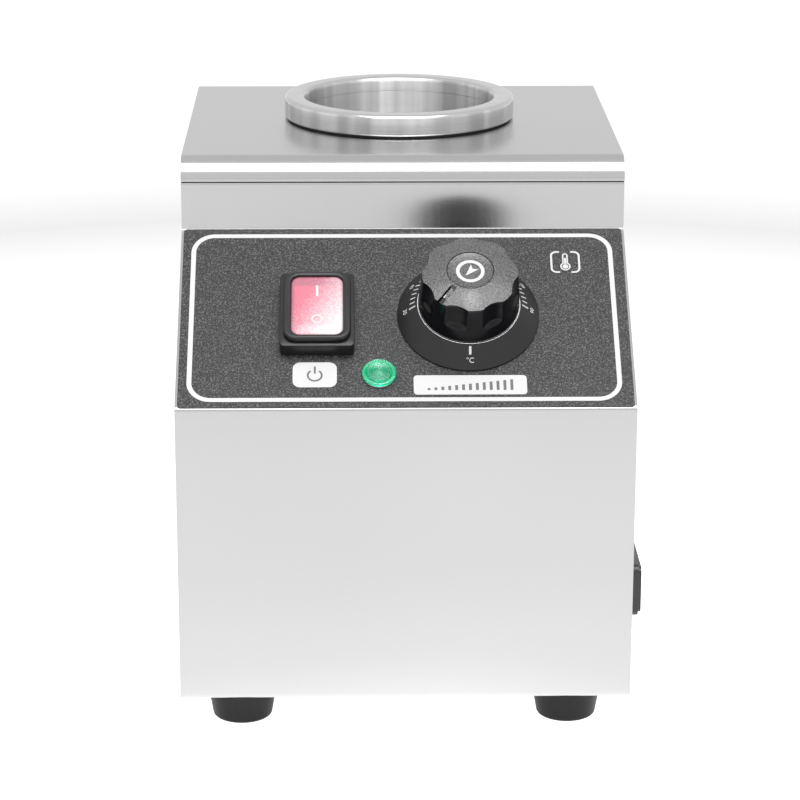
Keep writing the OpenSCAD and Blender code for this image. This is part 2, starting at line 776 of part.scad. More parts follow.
module knob() {
    flute_r = 9;
    flute_depth = 1.6;
    flute_base = dial_h + 8;
    flute_fade = 2.5;
    top_r = knob_r - 0.65;
    wall = 4.2;
    hub_r = 5.6;
    made_of("#202020") turned_knob() difference() {
        rotate_extrude($fn = 96) polygon([
            [shaft_r, knob_base + 2.5], [hub_r, knob_base + 2.5], [hub_r, knob_top - 6], [knob_r - wall, knob_top - 6],
            [knob_r - wall, knob_base], [knob_r, knob_base], [top_r + 0.1, knob_shoulder - 0.8],
            [top_r - 0.7, knob_shoulder], [cap_r + gap, knob_top], [cap_r + gap, knob_top - 1.4], [0, knob_top - 1.4],
            [0, shaft_top + 0.3], [shaft_r + gap / 2, shaft_top + 0.3], [shaft_r + gap / 2, knob_base + 2.5]
        ]);
        for (i = [0:flute_count - 1]) rotate([0, 0, 360 * (i + 0.5) / flute_count])
            translate([0, -(top_r + flute_r - flute_depth), flute_base]) {
                cylinder(h = 30, r = flute_r, $fn = 48);
                translate([0, 0, 0.01 - flute_fade]) cylinder(h = flute_fade, r1 = flute_r - flute_depth - 1, r2 = flute_r, $fn = 48);
            }
        translate([-0.8, -knob_r - 1, knob_top - 3]) cube([1.6, knob_r + 1 - cap_r - 1, 4]);
    }
}

module knob_cap() {
    dish = 0.7;
    made_of("#303030") turned_knob() rotate_extrude($fn = 96) polygon(concat(
        [[0, knob_top - 1.3], [cap_r, knob_top - 1.3], [cap_r, knob_top]],
        [for (i = [1:8]) [cap_r * (1 - i / 8), knob_top - dish * sin(90 * i / 8)]]
    ));
}

// A leaf spring between the shaft's flat and the knob's bore
module knob_spring() {
    made_of("silver") turned_knob() translate([-1.6, shaft_flat + 0.05, knob_base + 4])
        cube([3.2, 0.3, shaft_top - knob_base - 5]);
}

// ---- Switch --------------------------------------------------------------

module switch_housing() {
    inner_w = housing_w - 2 * housing_wall;
    inner_l = housing_l - 2 * housing_wall;
    made_of("#1c1c1c") on_slope(switch_x, switch_v) difference() {
        union() {
            translate([-housing_w / 2, -housing_l / 2, -housing_d]) cube([housing_w, housing_l, housing_d + overlay_t + 0.01]);
            translate([0, 0, overlay_t]) rounded_plate(bezel_w, bezel_l, bezel_t, 2);
        }
        translate([-inner_w / 2, -inner_l / 2, -housing_d + 5]) cube([inner_w, inner_l, housing_d + 5]);
        translate([-housing_w / 2 - 0.1, 0, rocker_axis_h]) rotate([0, 90, 0])
            cylinder(h = housing_w + 0.2, r = 1.6, $fn = 32);
        for (x = [-1, 1], y = [-1, 0, 1]) translate([x * 5, y * contact_y, -housing_d]) cube([tab[0] + 0.2, tab[1] + 0.2, 12], center = true);
    }
}

module rocker_section() {
    drop = -6;
    a = asin((drop - rocker_axis_h) / rocker_r);
    b = asin((rocker_mid_h - rocker_axis_h + rocker_r * 0.93 * tan(rocker_tilt)) / rocker_r);
    polygon(concat(
        [[0, rocker_mid_h]],
        [for (p = arc([0, rocker_axis_h], rocker_r, 180 - b, 180 - a, 6)) p],
        [[-3, drop], [3, drop]],
        [for (p = arc([0, rocker_axis_h], rocker_r, a, b, 6)) p]
    ));
}

module switch_rocker() {
    made_of("crimson") on_slope(switch_x, switch_v) translate([0, 0, rocker_axis_h])
        rotate([rocker_tilt, 0, 0]) translate([0, 0, -rocker_axis_h]) {
            translate([-rocker_w / 2, 0, 0]) rotate([90, 0, 90]) linear_extrude(rocker_w) rocker_section();
            translate([-housing_w / 2, 0, rocker_axis_h]) rotate([0, 90, 0]) cylinder(h = housing_w, r = 1.5, $fn = 32);
            for (s = [-1, 1]) translate([s * 5, 0, rocker_axis_h - plunger_len]) {
                cylinder(h = plunger_len - 4, r = plunger_r, $fn = 24);
                sphere(r = plunger_r, $fn = 24);
            }
        }
}

// Two see-saw arms that the rocker's plungers tip over
module switch_contact_arms() {
    made_of("darkgoldenrod") on_slope(switch_x, switch_v) for (s = [-1, 1])
        translate([s * 5, 0, arm_axis_h]) rotate([-rocker_tilt * arm_ratio, 0, 0]) {
            translate([-2, -contact_y - 1, 0]) cube([4, 2 * contact_y + 2, arm_t]);
            rotate([0, 90, 0]) cylinder(h = 4, r = arm_pivot_r, center = true, $fn = 24);
        }
}

module switch_terminals() {
    tab_z = -housing_d - tab[2];
    pivot_top = arm_axis_h - arm_pivot_r - contact_gap;
    contact_top = arm_axis_h - contact_y * sin(rocker_tilt * arm_ratio) - contact_gap;
    made_of("goldenrod") on_slope(switch_x, switch_v) for (x = [-1, 1], y = [-1, 0, 1])
        translate([x * 5 - tab[0] / 2, y * contact_y - tab[1] / 2, tab_z])
            cube([tab[0], tab[1], (y == 0 ? pivot_top : contact_top) - tab_z]);
}

// The black splash frame clips over the switch's bezel and holds the clear membrane
module switch_frame() {
    made_of("#1a1a1a") on_slope(switch_x, switch_v) difference() {
        union() {
            translate([0, 0, overlay_t]) rounded_plate(frame_w, frame_l, frame_h - overlay_t, 2.2);
            translate([0, 0, frame_h - 0.01]) rounded_plate(rim_w, rim_l, rim_h - frame_h, 4.5);
        }
        translate([0, 0, overlay_t - 1]) rounded_plate(bezel_w + 0.3, bezel_l + 0.3, bezel_t + 1.2, 2);
        translate([0, 0, 0]) rounded_plate(window_w, window_l, rim_h + 1, 3.5);
        translate([0, 0, membrane_h - gap]) rounded_plate(window_w + 2, window_l + 2, membrane_t + 2 * gap, 4);
    }
}

module switch_membrane() {
    made_of([0.95, 0.8, 0.82, 0.4]) on_slope(switch_x, switch_v) translate([0, 0, membrane_h]) {
        rounded_plate(window_w + 1.8, window_l + 1.8, membrane_t, 4);
        translate([0, 0, membrane_t - 0.01]) rounded_plate(window_w - 0.6, window_l - 0.6, 0.9, 3.2);
    }
}

// ---- Pilot lamp ----------------------------------------------------------

module lamp_body() {
    made_of("#e8e8e8") on_slope(lamp_x, lamp_v) difference() {
        union() {
            translate([0, 0, -20]) cylinder(h = 20 + overlay_t + 0.01, r = 4.8, $fn = fine);
            translate([0, 0, overlay_t]) cylinder(h = 0.8, r = lamp_r - 0.4, $fn = fine);
        }
        translate([0, 0, -17]) cylinder(h = 30, r = 3.9, $fn = fine);
        for (s = [-1, 1]) translate([s * 2, 0, -22]) cylinder(h = 8, r = wire_r + gap, $fn = 24);
    }
}

module lamp_lens() {
    lens_z = overlay_t + 0.8 + gap;
    crown = 4;
    made_of([0.1, 0.7, 0.45, 0.6]) on_slope(lamp_x, lamp_v) rotate_extrude($fn = 96) polygon(concat(
        [[3.2, lens_z], [lamp_r, lens_z], [lamp_r, lens_z + 1.2]],
        arc([lamp_r - 1.4, lens_z + 1.2], 1.4, 0, 60),
        [for (i = [1:8]) [(lamp_r - 1.4) * cos(90 * i / 8), lens_z + 2.4 + (crown - 2.4) * sin(90 * i / 8)]],
        [[0, lens_z + crown - 1.2], [2.6, lens_z + crown - 1.8], [3.2, lens_z + 1]]
    ));
}

module lamp_clip() {
    made_of("silver") on_slope(lamp_x, lamp_v) translate([0, 0, -sheet_t - 1.2 - gap]) difference() {
        cylinder(h = 1.2, r = 7.4, $fn = fine);
        translate([0, 0, -1]) cylinder(h = 4, r = 4.9, $fn = fine);
    }
}

module lamp_bulb() {
    made_of("orange") on_slope(lamp_x, lamp_v) {
        for (s = [-1, 1]) translate([s * 1.2, 0, -17]) cylinder(h = 7.1, r = 0.4, $fn = 24);
        translate([0, 0, -10]) cylinder(h = 10, r = 2.2, $fn = 32);
        sphere(r = 2.2, $fn = 32);
    }
}

// ---- Power inlet ---------------------------------------------------------

module inlet_places() {
    on_side(inlet_y, base_z + inlet_z) children();
}

module inlet_housing() {
    bevel = 1.2;
    made_of("#262626") inlet_places() difference() {
        union() {
            rounded_plate(inlet_l, inlet_h, inlet_proud - bevel, 3);
            translate([0, 0, inlet_proud - bevel - 0.01])
                rounded_plate(inlet_l - 2 * bevel, inlet_h - 2 * bevel, bevel + 0.01, 3 - bevel / 2);
            translate([-14, -10, -inlet_depth]) cube([28, 20, inlet_depth + 1]);
        }
        translate([-socket_w / 2, -socket_h / 2, inlet_proud - socket_depth]) cube([socket_w, socket_h, 30]);
        for (s = [-1, 1]) translate([s * 20, 0, 0]) {
            cylinder(h = 12, r = m3[0] + hole_gap, center = true, $fn = 32);
            translate([0, 0, inlet_proud - m3[2]]) cylinder(h = 4, r = m3[1] + hole_gap, $fn = 32);
        }
        pin_places() cube([2.2, 4.2, 20], center = true);
    }
}

// Three flat pins: the earth pin is nearer the top edge
module pin_places() {
    for (p = [[-7, -2], [0, 2], [7, -2]]) translate([p[0], p[1], -inlet_depth]) children();
}

module inlet_pins() {
    made_of("silver") inlet_places() pin_places() {
        translate([-1, -2, 0]) cube([2, 4, 18]);
        translate([-tab[1] / 2, -tab[0] / 2, -tab[2]]) cube([tab[1], tab[0], tab[2] + 0.01]);
    }
}

module inlet_screws() {
    made_of("silver") inlet_places() for (s = [-1, 1]) translate([s * 20, 0, 0]) {
        translate([0, 0, inlet_proud - m3[2]]) pan_screw(m3, 10);
        translate([0, 0, -sheet_t - nut_h]) hex_nut(m3, nut_h);
    }
}

// ---- Wiring --------------------------------------------------------------

block_at = [-40, 62];
block_pitch = 16;
block_size = [34, 18, 14];
block_hole_pitch = 8;
block_hole_h = 8;
block_head_h = 10;
stud_at = [30, 70];
stud_h = 14;
wire_r = 1.1;
wire_in = 3;
block_z = base_z + sheet_t;

module terminal_block() {
    made_of("ivory") translate([block_at[0], block_at[1], block_z]) difference() {
        translate([-block_size[0] / 2, -block_size[1] / 2, 0]) cube(block_size);
        for (s = [-1, 1]) translate([s * block_pitch / 2, 0, 0]) {
            translate([0, 0, -1]) cylinder(h = 20, r = m3[0] + hole_gap, $fn = 32);
            translate([0, 0, block_head_h]) cylinder(h = 20, r = m3[1] + hole_gap, $fn = 32);
        }
        for (i = [-1.5:1.5]) translate([i * block_hole_pitch, 0, block_hole_h]) rotate([90, 0, 0])
            cylinder(h = 30, r = wire_r + gap, center = true, $fn = 24);
    }
}

module block_screws() {
    made_of("silver") translate([block_at[0], block_at[1], block_z + block_head_h]) for (s = [-1, 1])
        translate([s * block_pitch / 2, 0, 0]) {
            pan_screw(m3, block_head_h + sheet_t + nut_h + 1);
            translate([0, 0, -block_head_h - sheet_t - nut_h]) hex_nut(m3, nut_h);
        }
}

module earth_stud() {
    made_of("silver") translate([stud_at[0], stud_at[1], base_z]) {
        translate([0, 0, -1.6]) cylinder(h = 1.6, r = m4[1], $fn = 32);
        translate([0, 0, -0.01]) cylinder(h = stud_h, r = m4[0], $fn = 32);
        translate([0, 0, sheet_t]) hex_nut(m4, nut_h);
    }
}

// Where the wires end, each with the point that its straight lead starts from
function slope_point(x, v, h) = [
    x, v * cos(slope_tilt) - h * sin(slope_tilt), slope_z + v * sin(slope_tilt) + h * cos(slope_tilt)
];
function switch_end(x, y, lead) =
    slope_point(switch_x + x * 5, switch_v + y * contact_y, -housing_d - tab[2] - lead);
function stat_end(s, lead) = slope_point(knob_x + s * 13, knob_v, -sheet_t - stat_d - tab[2] - lead);
function lamp_end(s, lead) = slope_point(lamp_x + s * 2, lamp_v, -17.2 - lead);
function inlet_end(p, lead) = [side_x - inlet_depth - tab[2] - lead, inlet_y + p[0], base_z + inlet_z + p[1]];
function block_end(i, side, lead) = [
    block_at[0] + i * block_hole_pitch, block_at[1] + side * (block_size[1] / 2 - wire_in + lead), block_z + block_hole_h
];
function cutout_end(s, lead) = [s * 5, bath_y, cutout_z - 15 - lead];
function heater_end(a, lead) =
    let (r = heater_r + terminal_len + gap + lead) [r * cos(a), bath_y + r * sin(a), heater_z + heater_h - 14];
function stud_end(lead) = [stud_at[0] + m4[0] + wire_r, stud_at[1], base_z + sheet_t + nut_h + lead];

module mains_wires() {
    live = [-7, -2];
    neutral = [7, -2];
    earth = [0, 2];
    made_of("sienna")
        wire([switch_end(-1, -1, 0), switch_end(-1, -1, 8), [-34, 54, 92], [0, 42, 60], inlet_end(live, 14),
              inlet_end(live, 0)], wire_r, [0, 0, 1]);
    made_of("steelblue")
        wire([switch_end(1, -1, 0), switch_end(1, -1, 8), [-14, 64, 96], [16, 62, 66], inlet_end(neutral, 14),
              inlet_end(neutral, 0)], wire_r, [0, 0, 1]);
    made_of("yellowgreen")
        wire([inlet_end(earth, 0), inlet_end(earth, 8), [46, 38, 46], [40, 52, 38], stud_end(10), stud_end(0)], wire_r, [0, 1, 0]);
}

module heater_wires() {
    made_of("white") {
        wire([stat_end(-1, 0), stat_end(-1, 8), [0, 74, 118], [-16, 78, 122], switch_end(1, 1, 8),
              switch_end(1, 1, 0)], wire_r, [0, 0, 1]);
        wire([switch_end(-1, 1, 0), switch_end(-1, 1, 8), [-46, 66, 90], [-48, 40, 50], block_end(-0.5, -1, 12),
              block_end(-0.5, -1, 0)], wire_r, [1, 0, 0]);
        wire([stat_end(1, 0), stat_end(1, 8), [28, 70, 90], [-10, 44, 44], block_end(0.5, -1, 12),
              block_end(0.5, -1, 0)], wire_r, [1, 0, 0]);
        wire([block_end(0.5, 1, 0), block_end(0.5, 1, 12), [-24, 116, 27], [-8, 150, 27], cutout_end(-1, 7),
              cutout_end(-1, 0)], wire_r, [1, 0, 0]);
        wire([cutout_end(1, 0), cutout_end(1, 7), [6, 140, 27], [-2, 102, 50], [-14, 98, 110],
              heater_end(terminal_angles[0], 7), heater_end(terminal_angles[0], 0)], wire_r, [1, 0, 0]);
        wire([block_end(-0.5, 1, 0), block_end(-0.5, 1, 12), [-42, 98, 56], [-40, 104, 110],
              heater_end(terminal_angles[1], 7), heater_end(terminal_angles[1], 0)], wire_r, [1, 0, 0]);
    }
}

module lamp_wires() {
    made_of("white") {
        wire([lamp_end(-1, 0), lamp_end(-1, 8), [-18, 30, 84], [-52, 30, 44], block_end(-1.5, -1, 12),
              block_end(-1.5, -1, 0)], wire_r, [1, 0, 0]);
        wire([lamp_end(1, 0), lamp_end(1, 8), [-6, 30, 84], [-24, 30, 44], block_end(1.5, -1, 12),
              block_end(1.5, -1, 0)], wire_r, [1, 0, 0]);
    }
}

front_panel();
side_panel_left();
side_panel_right();
rear_panel();
base_plate();
top_cover();
control_overlay();
rating_plate();
rating_plate_rivets();
foot_front_left();
foot_front_right();
foot_rear_left();
foot_rear_right();
foot_screws();
foot_nuts();
base_screws();
rear_screws();
cover_screws();
bath_pot();
collar_ring();
collar_gasket();
collar_studs();
collar_nuts();
heater_band();
heater_clamp_screws();
heater_terminals();
insulation_sleeve();
insulation_jacket();
limit_cutout();
cutout_screws();
thermostat_body();
thermostat_shaft();
thermostat_screws();
thermostat_bulb();
bulb_clip();
capillary_tube();
dial_skirt();
knob();
knob_cap();
knob_spring();
switch_housing();
switch_rocker();
switch_contact_arms();
switch_terminals();
switch_frame();
switch_membrane();
lamp_body();
lamp_lens();
lamp_clip();
lamp_bulb();
inlet_housing();
inlet_pins();
inlet_screws();
terminal_block();
block_screws();
earth_stud();
mains_wires();
heater_wires();
lamp_wires();
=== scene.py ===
import json
import math

import bmesh
import bpy
from mathutils import Matrix, Quaternion, Vector


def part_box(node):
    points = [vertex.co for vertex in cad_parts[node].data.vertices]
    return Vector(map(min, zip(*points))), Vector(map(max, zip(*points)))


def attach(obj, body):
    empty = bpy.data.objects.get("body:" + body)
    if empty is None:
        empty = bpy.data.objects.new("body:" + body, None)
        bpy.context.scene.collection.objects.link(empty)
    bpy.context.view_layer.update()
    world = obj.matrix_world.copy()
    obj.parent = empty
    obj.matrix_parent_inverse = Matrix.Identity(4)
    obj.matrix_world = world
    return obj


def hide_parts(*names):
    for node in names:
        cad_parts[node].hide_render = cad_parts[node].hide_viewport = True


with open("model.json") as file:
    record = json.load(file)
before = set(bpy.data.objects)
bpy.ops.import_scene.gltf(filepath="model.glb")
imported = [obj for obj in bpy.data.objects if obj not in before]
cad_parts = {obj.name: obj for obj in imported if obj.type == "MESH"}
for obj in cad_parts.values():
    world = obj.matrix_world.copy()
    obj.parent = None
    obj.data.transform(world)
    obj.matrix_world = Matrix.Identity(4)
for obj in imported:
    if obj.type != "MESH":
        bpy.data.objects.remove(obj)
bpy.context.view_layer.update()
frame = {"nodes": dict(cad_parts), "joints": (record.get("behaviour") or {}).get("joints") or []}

# Shapes are drawn in millimetres and placed in metres.
MM = 0.001
TURN = 2 * math.pi
CASING, KNOB, ROCKER = "casing", "knob_body", "rocker_body"

# ---- Camera --------------------------------------------------------------

EYE = Vector((-0.0255, -1.2039, 0.4662))
PITCH, YAW, ROLL = math.radians(16.696), math.radians(1.084), math.radians(-0.111)
LENS = 131.5


def add_camera():
    camera = bpy.data.objects.new("camera", bpy.data.cameras.new("camera"))
    camera.data.lens = LENS
    camera.data.clip_end = 50
    ahead = Vector((math.sin(YAW) * math.cos(PITCH), math.cos(YAW) * math.cos(PITCH), -math.sin(PITCH)))
    camera.rotation_mode = "QUATERNION"
    camera.rotation_quaternion = ahead.to_track_quat("-Z", "Y") @ Quaternion((0, 0, 1), -ROLL)
    camera.location = EYE
    bpy.context.collection.objects.link(camera)
    bpy.context.scene.camera = camera


# ---- Places on the object ------------------------------------------------

joints = {joint["name"]: joint for joint in frame["joints"]}
ACROSS = Vector((1, 0, 0))
OUT = -Vector(joints["knob_turn"]["axis"]).normalized()
UP_FACE = OUT.cross(ACROSS)


def middle(node):
    low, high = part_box(node)
    return (low + high) / 2


def on_face(point, height):
    """A millimetre frame on the control face: x across, y up the slope, z out of it.
    The point stands `height` above the face."""
    foot = Vector(point) - OUT * height * MM
    axes = Matrix((ACROSS, UP_FACE, OUT)).transposed().to_4x4()
    return Matrix.Translation(foot) @ axes @ Matrix.Scale(MM, 4)


def upright(x, y, z):
    """A millimetre frame with z up and its origin at that place."""
    return Matrix.Translation((x, y, z)) @ Matrix.Scale(MM, 4)


KNOB_AT = on_face(joints["knob_turn"]["pos_m"], 12)
SWITCH_AT = on_face(joints["rocker_press"]["pos_m"], -1)
ROCKER_AT = on_face(joints["rocker_press"]["pos_m"], 0)
LAMP_AT = on_face(middle("lamp_clip"), -1.7)
FACE_AT = on_face(middle("control_overlay"), 0.2)
COLLAR_LOW, COLLAR_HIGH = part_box("collar_ring")
POT_LOW, POT_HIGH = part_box("bath_pot")

# ---- Outlines ------------------------------------------------------------


def rounded(corners, closed=True, steps=6):
    """Turns (x, y) or (x, y, radius) corners into points, with an arc at each corner that has a radius."""
    count = len(corners)
    points = []
    for i, corner in enumerate(corners):
        here = Vector(corner[:2])
        radius = corner[2] if len(corner) > 2 else 0
        at_end = not closed and i in (0, count - 1)
        if radius == 0 or at_end:
            points.append(here)
            continue
        back = (Vector(corners[i - 1][:2]) - here).normalized()
        ahead = (Vector(corners[(i + 1) % count][:2]) - here).normalized()
        half = back.angle(ahead) / 2
        centre = here + (back + ahead).normalized() * radius / math.sin(half)
        start = here + back * radius / math.tan(half) - centre
        sweep = math.pi - 2 * half
        turn = 1 if back.cross(ahead) < 0 else -1
        points += [centre + Matrix.Rotation(turn * sweep * k / steps, 2) @ start for k in range(steps + 1)]
    return points


def rectangle(width, length, radius=0, steps=6):
    x, y = width / 2, length / 2
    return rounded([(-x, -y, radius), (x, -y, radius), (x, y, radius), (-x, y, radius)], steps=steps)


def circle(radius, steps=64):
    angles = [TURN * i / steps for i in range(steps)]
    return [Vector((radius * math.cos(a), radius * math.sin(a))) for a in angles]


def shifted(points, x, y):
    return [p + Vector((x, y)) for p in points]


# ---- Solids --------------------------------------------------------------


def loop_of(bm, points, height):
    """A closed ring of edges through the points."""
    verts = [bm.verts.new((p.x, p.y, height)) for p in points]
    return [bm.edges.new((verts[i - 1], verts[i])) for i in range(len(verts))]


def raise_faces(bm, faces, height):
    """Extrudes faces by the height, leaving a closed solid, and returns its upper faces."""
    made = bmesh.ops.extrude_face_region(bm, geom=faces, use_keep_orig=True)["geom"]
    verts = [g for g in made if isinstance(g, bmesh.types.BMVert)]
    bmesh.ops.translate(bm, verts=verts, vec=(0, 0, height))
    return [g for g in made if isinstance(g, bmesh.types.BMFace)]


def prism(bm, outline, low, high):
    edges = loop_of(bm, outline, low)
    face = bmesh.ops.contextual_create(bm, geom=edges)["faces"]
    return raise_faces(bm, face, high - low)


def ring_prism(bm, outer, inner, low, high):
    edges = loop_of(bm, outer, low) + loop_of(bm, inner, low)
    faces = bmesh.ops.bridge_loops(bm, edges=edges)["faces"]
    return raise_faces(bm, faces, high - low)


def stack(bm, levels, hollow=False):
    """A solid through rounded rectangles given as (width, length, radius, height).
    A hollow one closes on itself."""
    loops = []
    for width, length, radius, height in levels:
        loops.append([bm.verts.new((p.x, p.y, height)) for p in rectangle(width, length, radius, 8)])
    for low, high in zip(loops, loops[1:] + loops[:1] if hollow else loops[1:]):
        for i in range(len(low)):
            bm.faces.new((low[i - 1], low[i], high[i], high[i - 1]))
    if not hollow:
        bm.faces.new(loops[0])
        bm.faces.new(loops[-1])


def lathe(bm, profile, steps, closed):
    """Turns an (r, z) profile round the z axis."""
    verts = [bm.verts.new((p[0], 0, p[1])) for p in profile]
    pairs = range(0 if closed else 1, len(verts))
    edges = [bm.edges.new((verts[i - 1], verts[i])) for i in pairs]
    bmesh.ops.spin(bm, geom=verts + edges, cent=(0, 0, 0), axis=(0, 0, 1), dvec=(0, 0, 0),
                   angle=TURN, steps=steps, use_merge=True, use_duplicate=False)
    bmesh.ops.remove_doubles(bm, verts=bm.verts, dist=0.001)


def soften(bm, width, segments, chosen):
    edges = [e for e in bm.edges if chosen(e)]
    bmesh.ops.bevel(bm, geom=edges, offset=width, segments=segments, profile=0.5,
                    affect="EDGES", material=-1, clamp_overlap=True)


def level_edge(height):
    """Chooses sharp edges that lie at that height."""
    def chosen(edge):
        level = all(abs(v.co.z - height) < 0.01 for v in edge.verts)
        return level and len(edge.link_faces) == 2 and edge.calc_face_angle() > 0.5
    return chosen


def stroke(bm, points, width, low, high, closed=False):
    """A printed line of that width along the points."""
    verts = [bm.verts.new((p[0], p[1], low)) for p in points]
    pairs = range(0 if closed else 1, len(verts))
    edges = [bm.edges.new((verts[i - 1], verts[i])) for i in pairs]
    made = bmesh.ops.extrude_edge_only(bm, edges=edges)["geom"]
    verts = [g for g in made if isinstance(g, bmesh.types.BMVert)]
    bmesh.ops.translate(bm, verts=verts, vec=(0, 0, high - low))
    walls = [g for g in made if isinstance(g, bmesh.types.BMFace)]
    bmesh.ops.recalc_face_normals(bm, faces=walls)
    bmesh.ops.solidify(bm, geom=walls, thickness=width)


def piece(name, bm, place, finish, body, cad=(), sharp=30):
    """Makes a finished piece of the mesh: placed in metres, facing outwards, on its body."""
    bmesh.ops.remove_doubles(bm, verts=bm.verts, dist=0.0005)
    bmesh.ops.transform(bm, matrix=place, verts=bm.verts)
    bmesh.ops.recalc_face_normals(bm, faces=bm.faces)
    mesh = bpy.data.meshes.new(name)
    bm.to_mesh(mesh)
    bm.free()
    mesh.shade_smooth()
    mesh.set_sharp_from_angle(angle=math.radians(sharp))
    for material in finish if isinstance(finish, (list, tuple)) else [finish]:
        mesh.materials.append(material)
    made = bpy.data.objects.new(name, mesh)
    bpy.context.collection.objects.link(made)
    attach(made, body)
    if cad:
        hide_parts(*cad)
    return made


# ---- Finishes ------------------------------------------------------------


def as_colour(value):
    """An opaque colour from three parts, or a grey from one number."""
    return (*value, 1) if isinstance(value, tuple) else (value, value, value, 1)


class Finish:
    """A material with one main shader, and helpers that add its grain."""

    def __init__(self, name, colour, rough, metal=0.0, **sockets):
        self.material = bpy.data.materials.new(name)
        self.material.use_nodes = True
        self.nodes = self.material.node_tree.nodes
        self.links = self.material.node_tree.links
        self.shader = self.nodes["Principled BSDF"]
        self.shader.inputs["Base Color"].default_value = (*colour, 1)
        self.shader.inputs["Roughness"].default_value = rough
        self.shader.inputs["Metallic"].default_value = metal
        for key, value in sockets.items():
            self.shader.inputs[key.replace("_", " ")].default_value = value
        self.place = self.nodes.new("ShaderNodeTexCoord").outputs["Object"]
        self.normal = None

    def noise(self, scale, detail=3.0, size=1.0):
        mapping = self.nodes.new("ShaderNodeMapping")
        mapping.inputs["Scale"].default_value = scale
        texture = self.nodes.new("ShaderNodeTexNoise")
        texture.inputs["Scale"].default_value = size
        texture.inputs["Detail"].default_value = detail
        self.links.new(self.place, mapping.inputs["Vector"])
        self.links.new(mapping.outputs["Vector"], texture.inputs["Vector"])
        return texture.outputs["Fac"]

    def from_well(self):
        """The place measured from the well's axis, as x, y and z outputs."""
        centre = self.nodes.new("ShaderNodeVectorMath")
        centre.operation = "SUBTRACT"
        centre.inputs[1].default_value = ((COLLAR_LOW + COLLAR_HIGH) / 2)[:]
        apart = self.nodes.new("ShaderNodeSeparateXYZ")
        self.links.new(self.place, centre.inputs[0])
        self.links.new(centre.outputs[0], apart.inputs[0])
        return apart.outputs

    def turned(self, scale, detail):
        """Noise that runs round the well's axis, as a lathe leaves it."""
        place = self.from_well()
        flat = self.nodes.new("ShaderNodeCombineXYZ")
        length = self.nodes.new("ShaderNodeVectorMath")
        length.operation = "LENGTH"
        joined = self.nodes.new("ShaderNodeCombineXYZ")
        texture = self.nodes.new("ShaderNodeTexNoise")
        texture.inputs["Scale"].default_value = scale
        texture.inputs["Detail"].default_value = detail
        self.links.new(place["X"], flat.inputs["X"])
        self.links.new(place["Y"], flat.inputs["Y"])
        self.links.new(flat.outputs[0], length.inputs[0])
        self.links.new(length.outputs["Value"], joined.inputs["X"])
        self.links.new(place["Z"], joined.inputs["Z"])
        self.links.new(joined.outputs[0], texture.inputs["Vector"])
        return texture.outputs["Fac"]

    def facing(self):
        """Noise that changes only with the direction from the well's axis, for upright light and dark
        streaks that are painted reflections.
        """
        place = self.from_well()
        flat = self.nodes.new("ShaderNodeCombineXYZ")
        unit = self.nodes.new("ShaderNodeVectorMath")
        unit.operation = "NORMALIZE"
        texture = self.nodes.new("ShaderNodeTexNoise")
        texture.inputs["Scale"].default_value = 4.2
        texture.inputs["Detail"].default_value = 2.5
        self.links.new(place["X"], flat.inputs["X"])
        self.links.new(place["Y"], flat.inputs["Y"])
        self.links.new(flat.outputs[0], unit.inputs[0])
        self.links.new(unit.outputs[0], texture.inputs["Vector"])
        return texture.outputs["Fac"]

    def spread(self, amount, along):
        """Stretches reflections along a direction, as a straight or turned grain does."""
        direction = self.nodes.new("ShaderNodeCombineXYZ")
        for key, value in zip("XYZ", along):
            direction.inputs[key].default_value = value
        self.links.new(direction.outputs[0], self.shader.inputs["Tangent"])
        self.shader.inputs["Anisotropic"].default_value = amount
        return self

    def ramp(self, source, low, high, start=0.3, stop=0.7):
        """Spreads a noise over two colours or two values."""
        node = self.nodes.new("ShaderNodeValToRGB")
        first, last = node.color_ramp.elements
        first.position, last.position = start, stop
        first.color, last.color = as_colour(low), as_colour(high)
        self.links.new(source, node.inputs["Fac"])
        return node.outputs["Color"]

    def colour(self, source, low, high, start=0.3, stop=0.7):
        self.links.new(self.ramp(source, low, high, start, stop), self.shader.inputs["Base Color"])
        return self

    def rough(self, source, low, high, start=0.3, stop=0.7):
        self.links.new(self.ramp(source, low, high, start, stop), self.shader.inputs["Roughness"])
        return self

    def bump(self, source, strength, depth):
        node = self.nodes.new("ShaderNodeBump")
        node.inputs["Strength"].default_value = strength
        node.inputs["Distance"].default_value = depth
        self.links.new(source, node.inputs["Height"])
        if self.normal:
            self.links.new(self.normal, node.inputs["Normal"])
        self.normal = node.outputs["Normal"]
        self.links.new(self.normal, self.shader.inputs["Normal"])
        return self


def brushed_sheet(name, grain, across):
    """Stainless sheet with a fine straight grain. The grain is fine along the axis with the big number."""
    f = Finish(name, (0.47, 0.47, 0.47), 0.22, 1.0)
    fine = f.noise(grain, 4.0)
    broad = f.noise((7, 7, 7), 2.0)
    f.colour(broad, (0.46, 0.46, 0.46), (0.48, 0.48, 0.48))
    f.rough(fine, 0.19, 0.25)
    f.bump(fine, 0.03, 0.00001)
    return f.spread(0.75, across).material


def turned_steel(name, dull, bright, rough, depth, spread):
    f = Finish(name, bright, rough, 1.0)
    # Colour runs from dull to bright in upright streaks round the axis: painted reflection streaks.
    f.colour(f.facing(), dull, bright, 0.36, 0.62)
    rings = f.turned(3200, 3.0)
    f.rough(rings, rough * 0.75, rough * 1.3)
    f.bump(rings, depth, 0.00001)
    return f.spread(spread, (0, 0, 1)).material


def grained_film(name):
    """Black polyester film with a spark-like texture that catches the light in specks."""
    f = Finish(name, (0.035, 0.035, 0.036), 0.42)
    specks = f.noise((1700, 1700, 1700), 2.0)
    broad = f.noise((700, 700, 700), 3.0)
    f.colour(specks, (0.001, 0.001, 0.002), (0.100, 0.100, 0.102), 0.49, 0.70)
    f.rough(broad, 0.36, 0.55)
    f.bump(specks, 0.5, 0.00006)
    return f.material


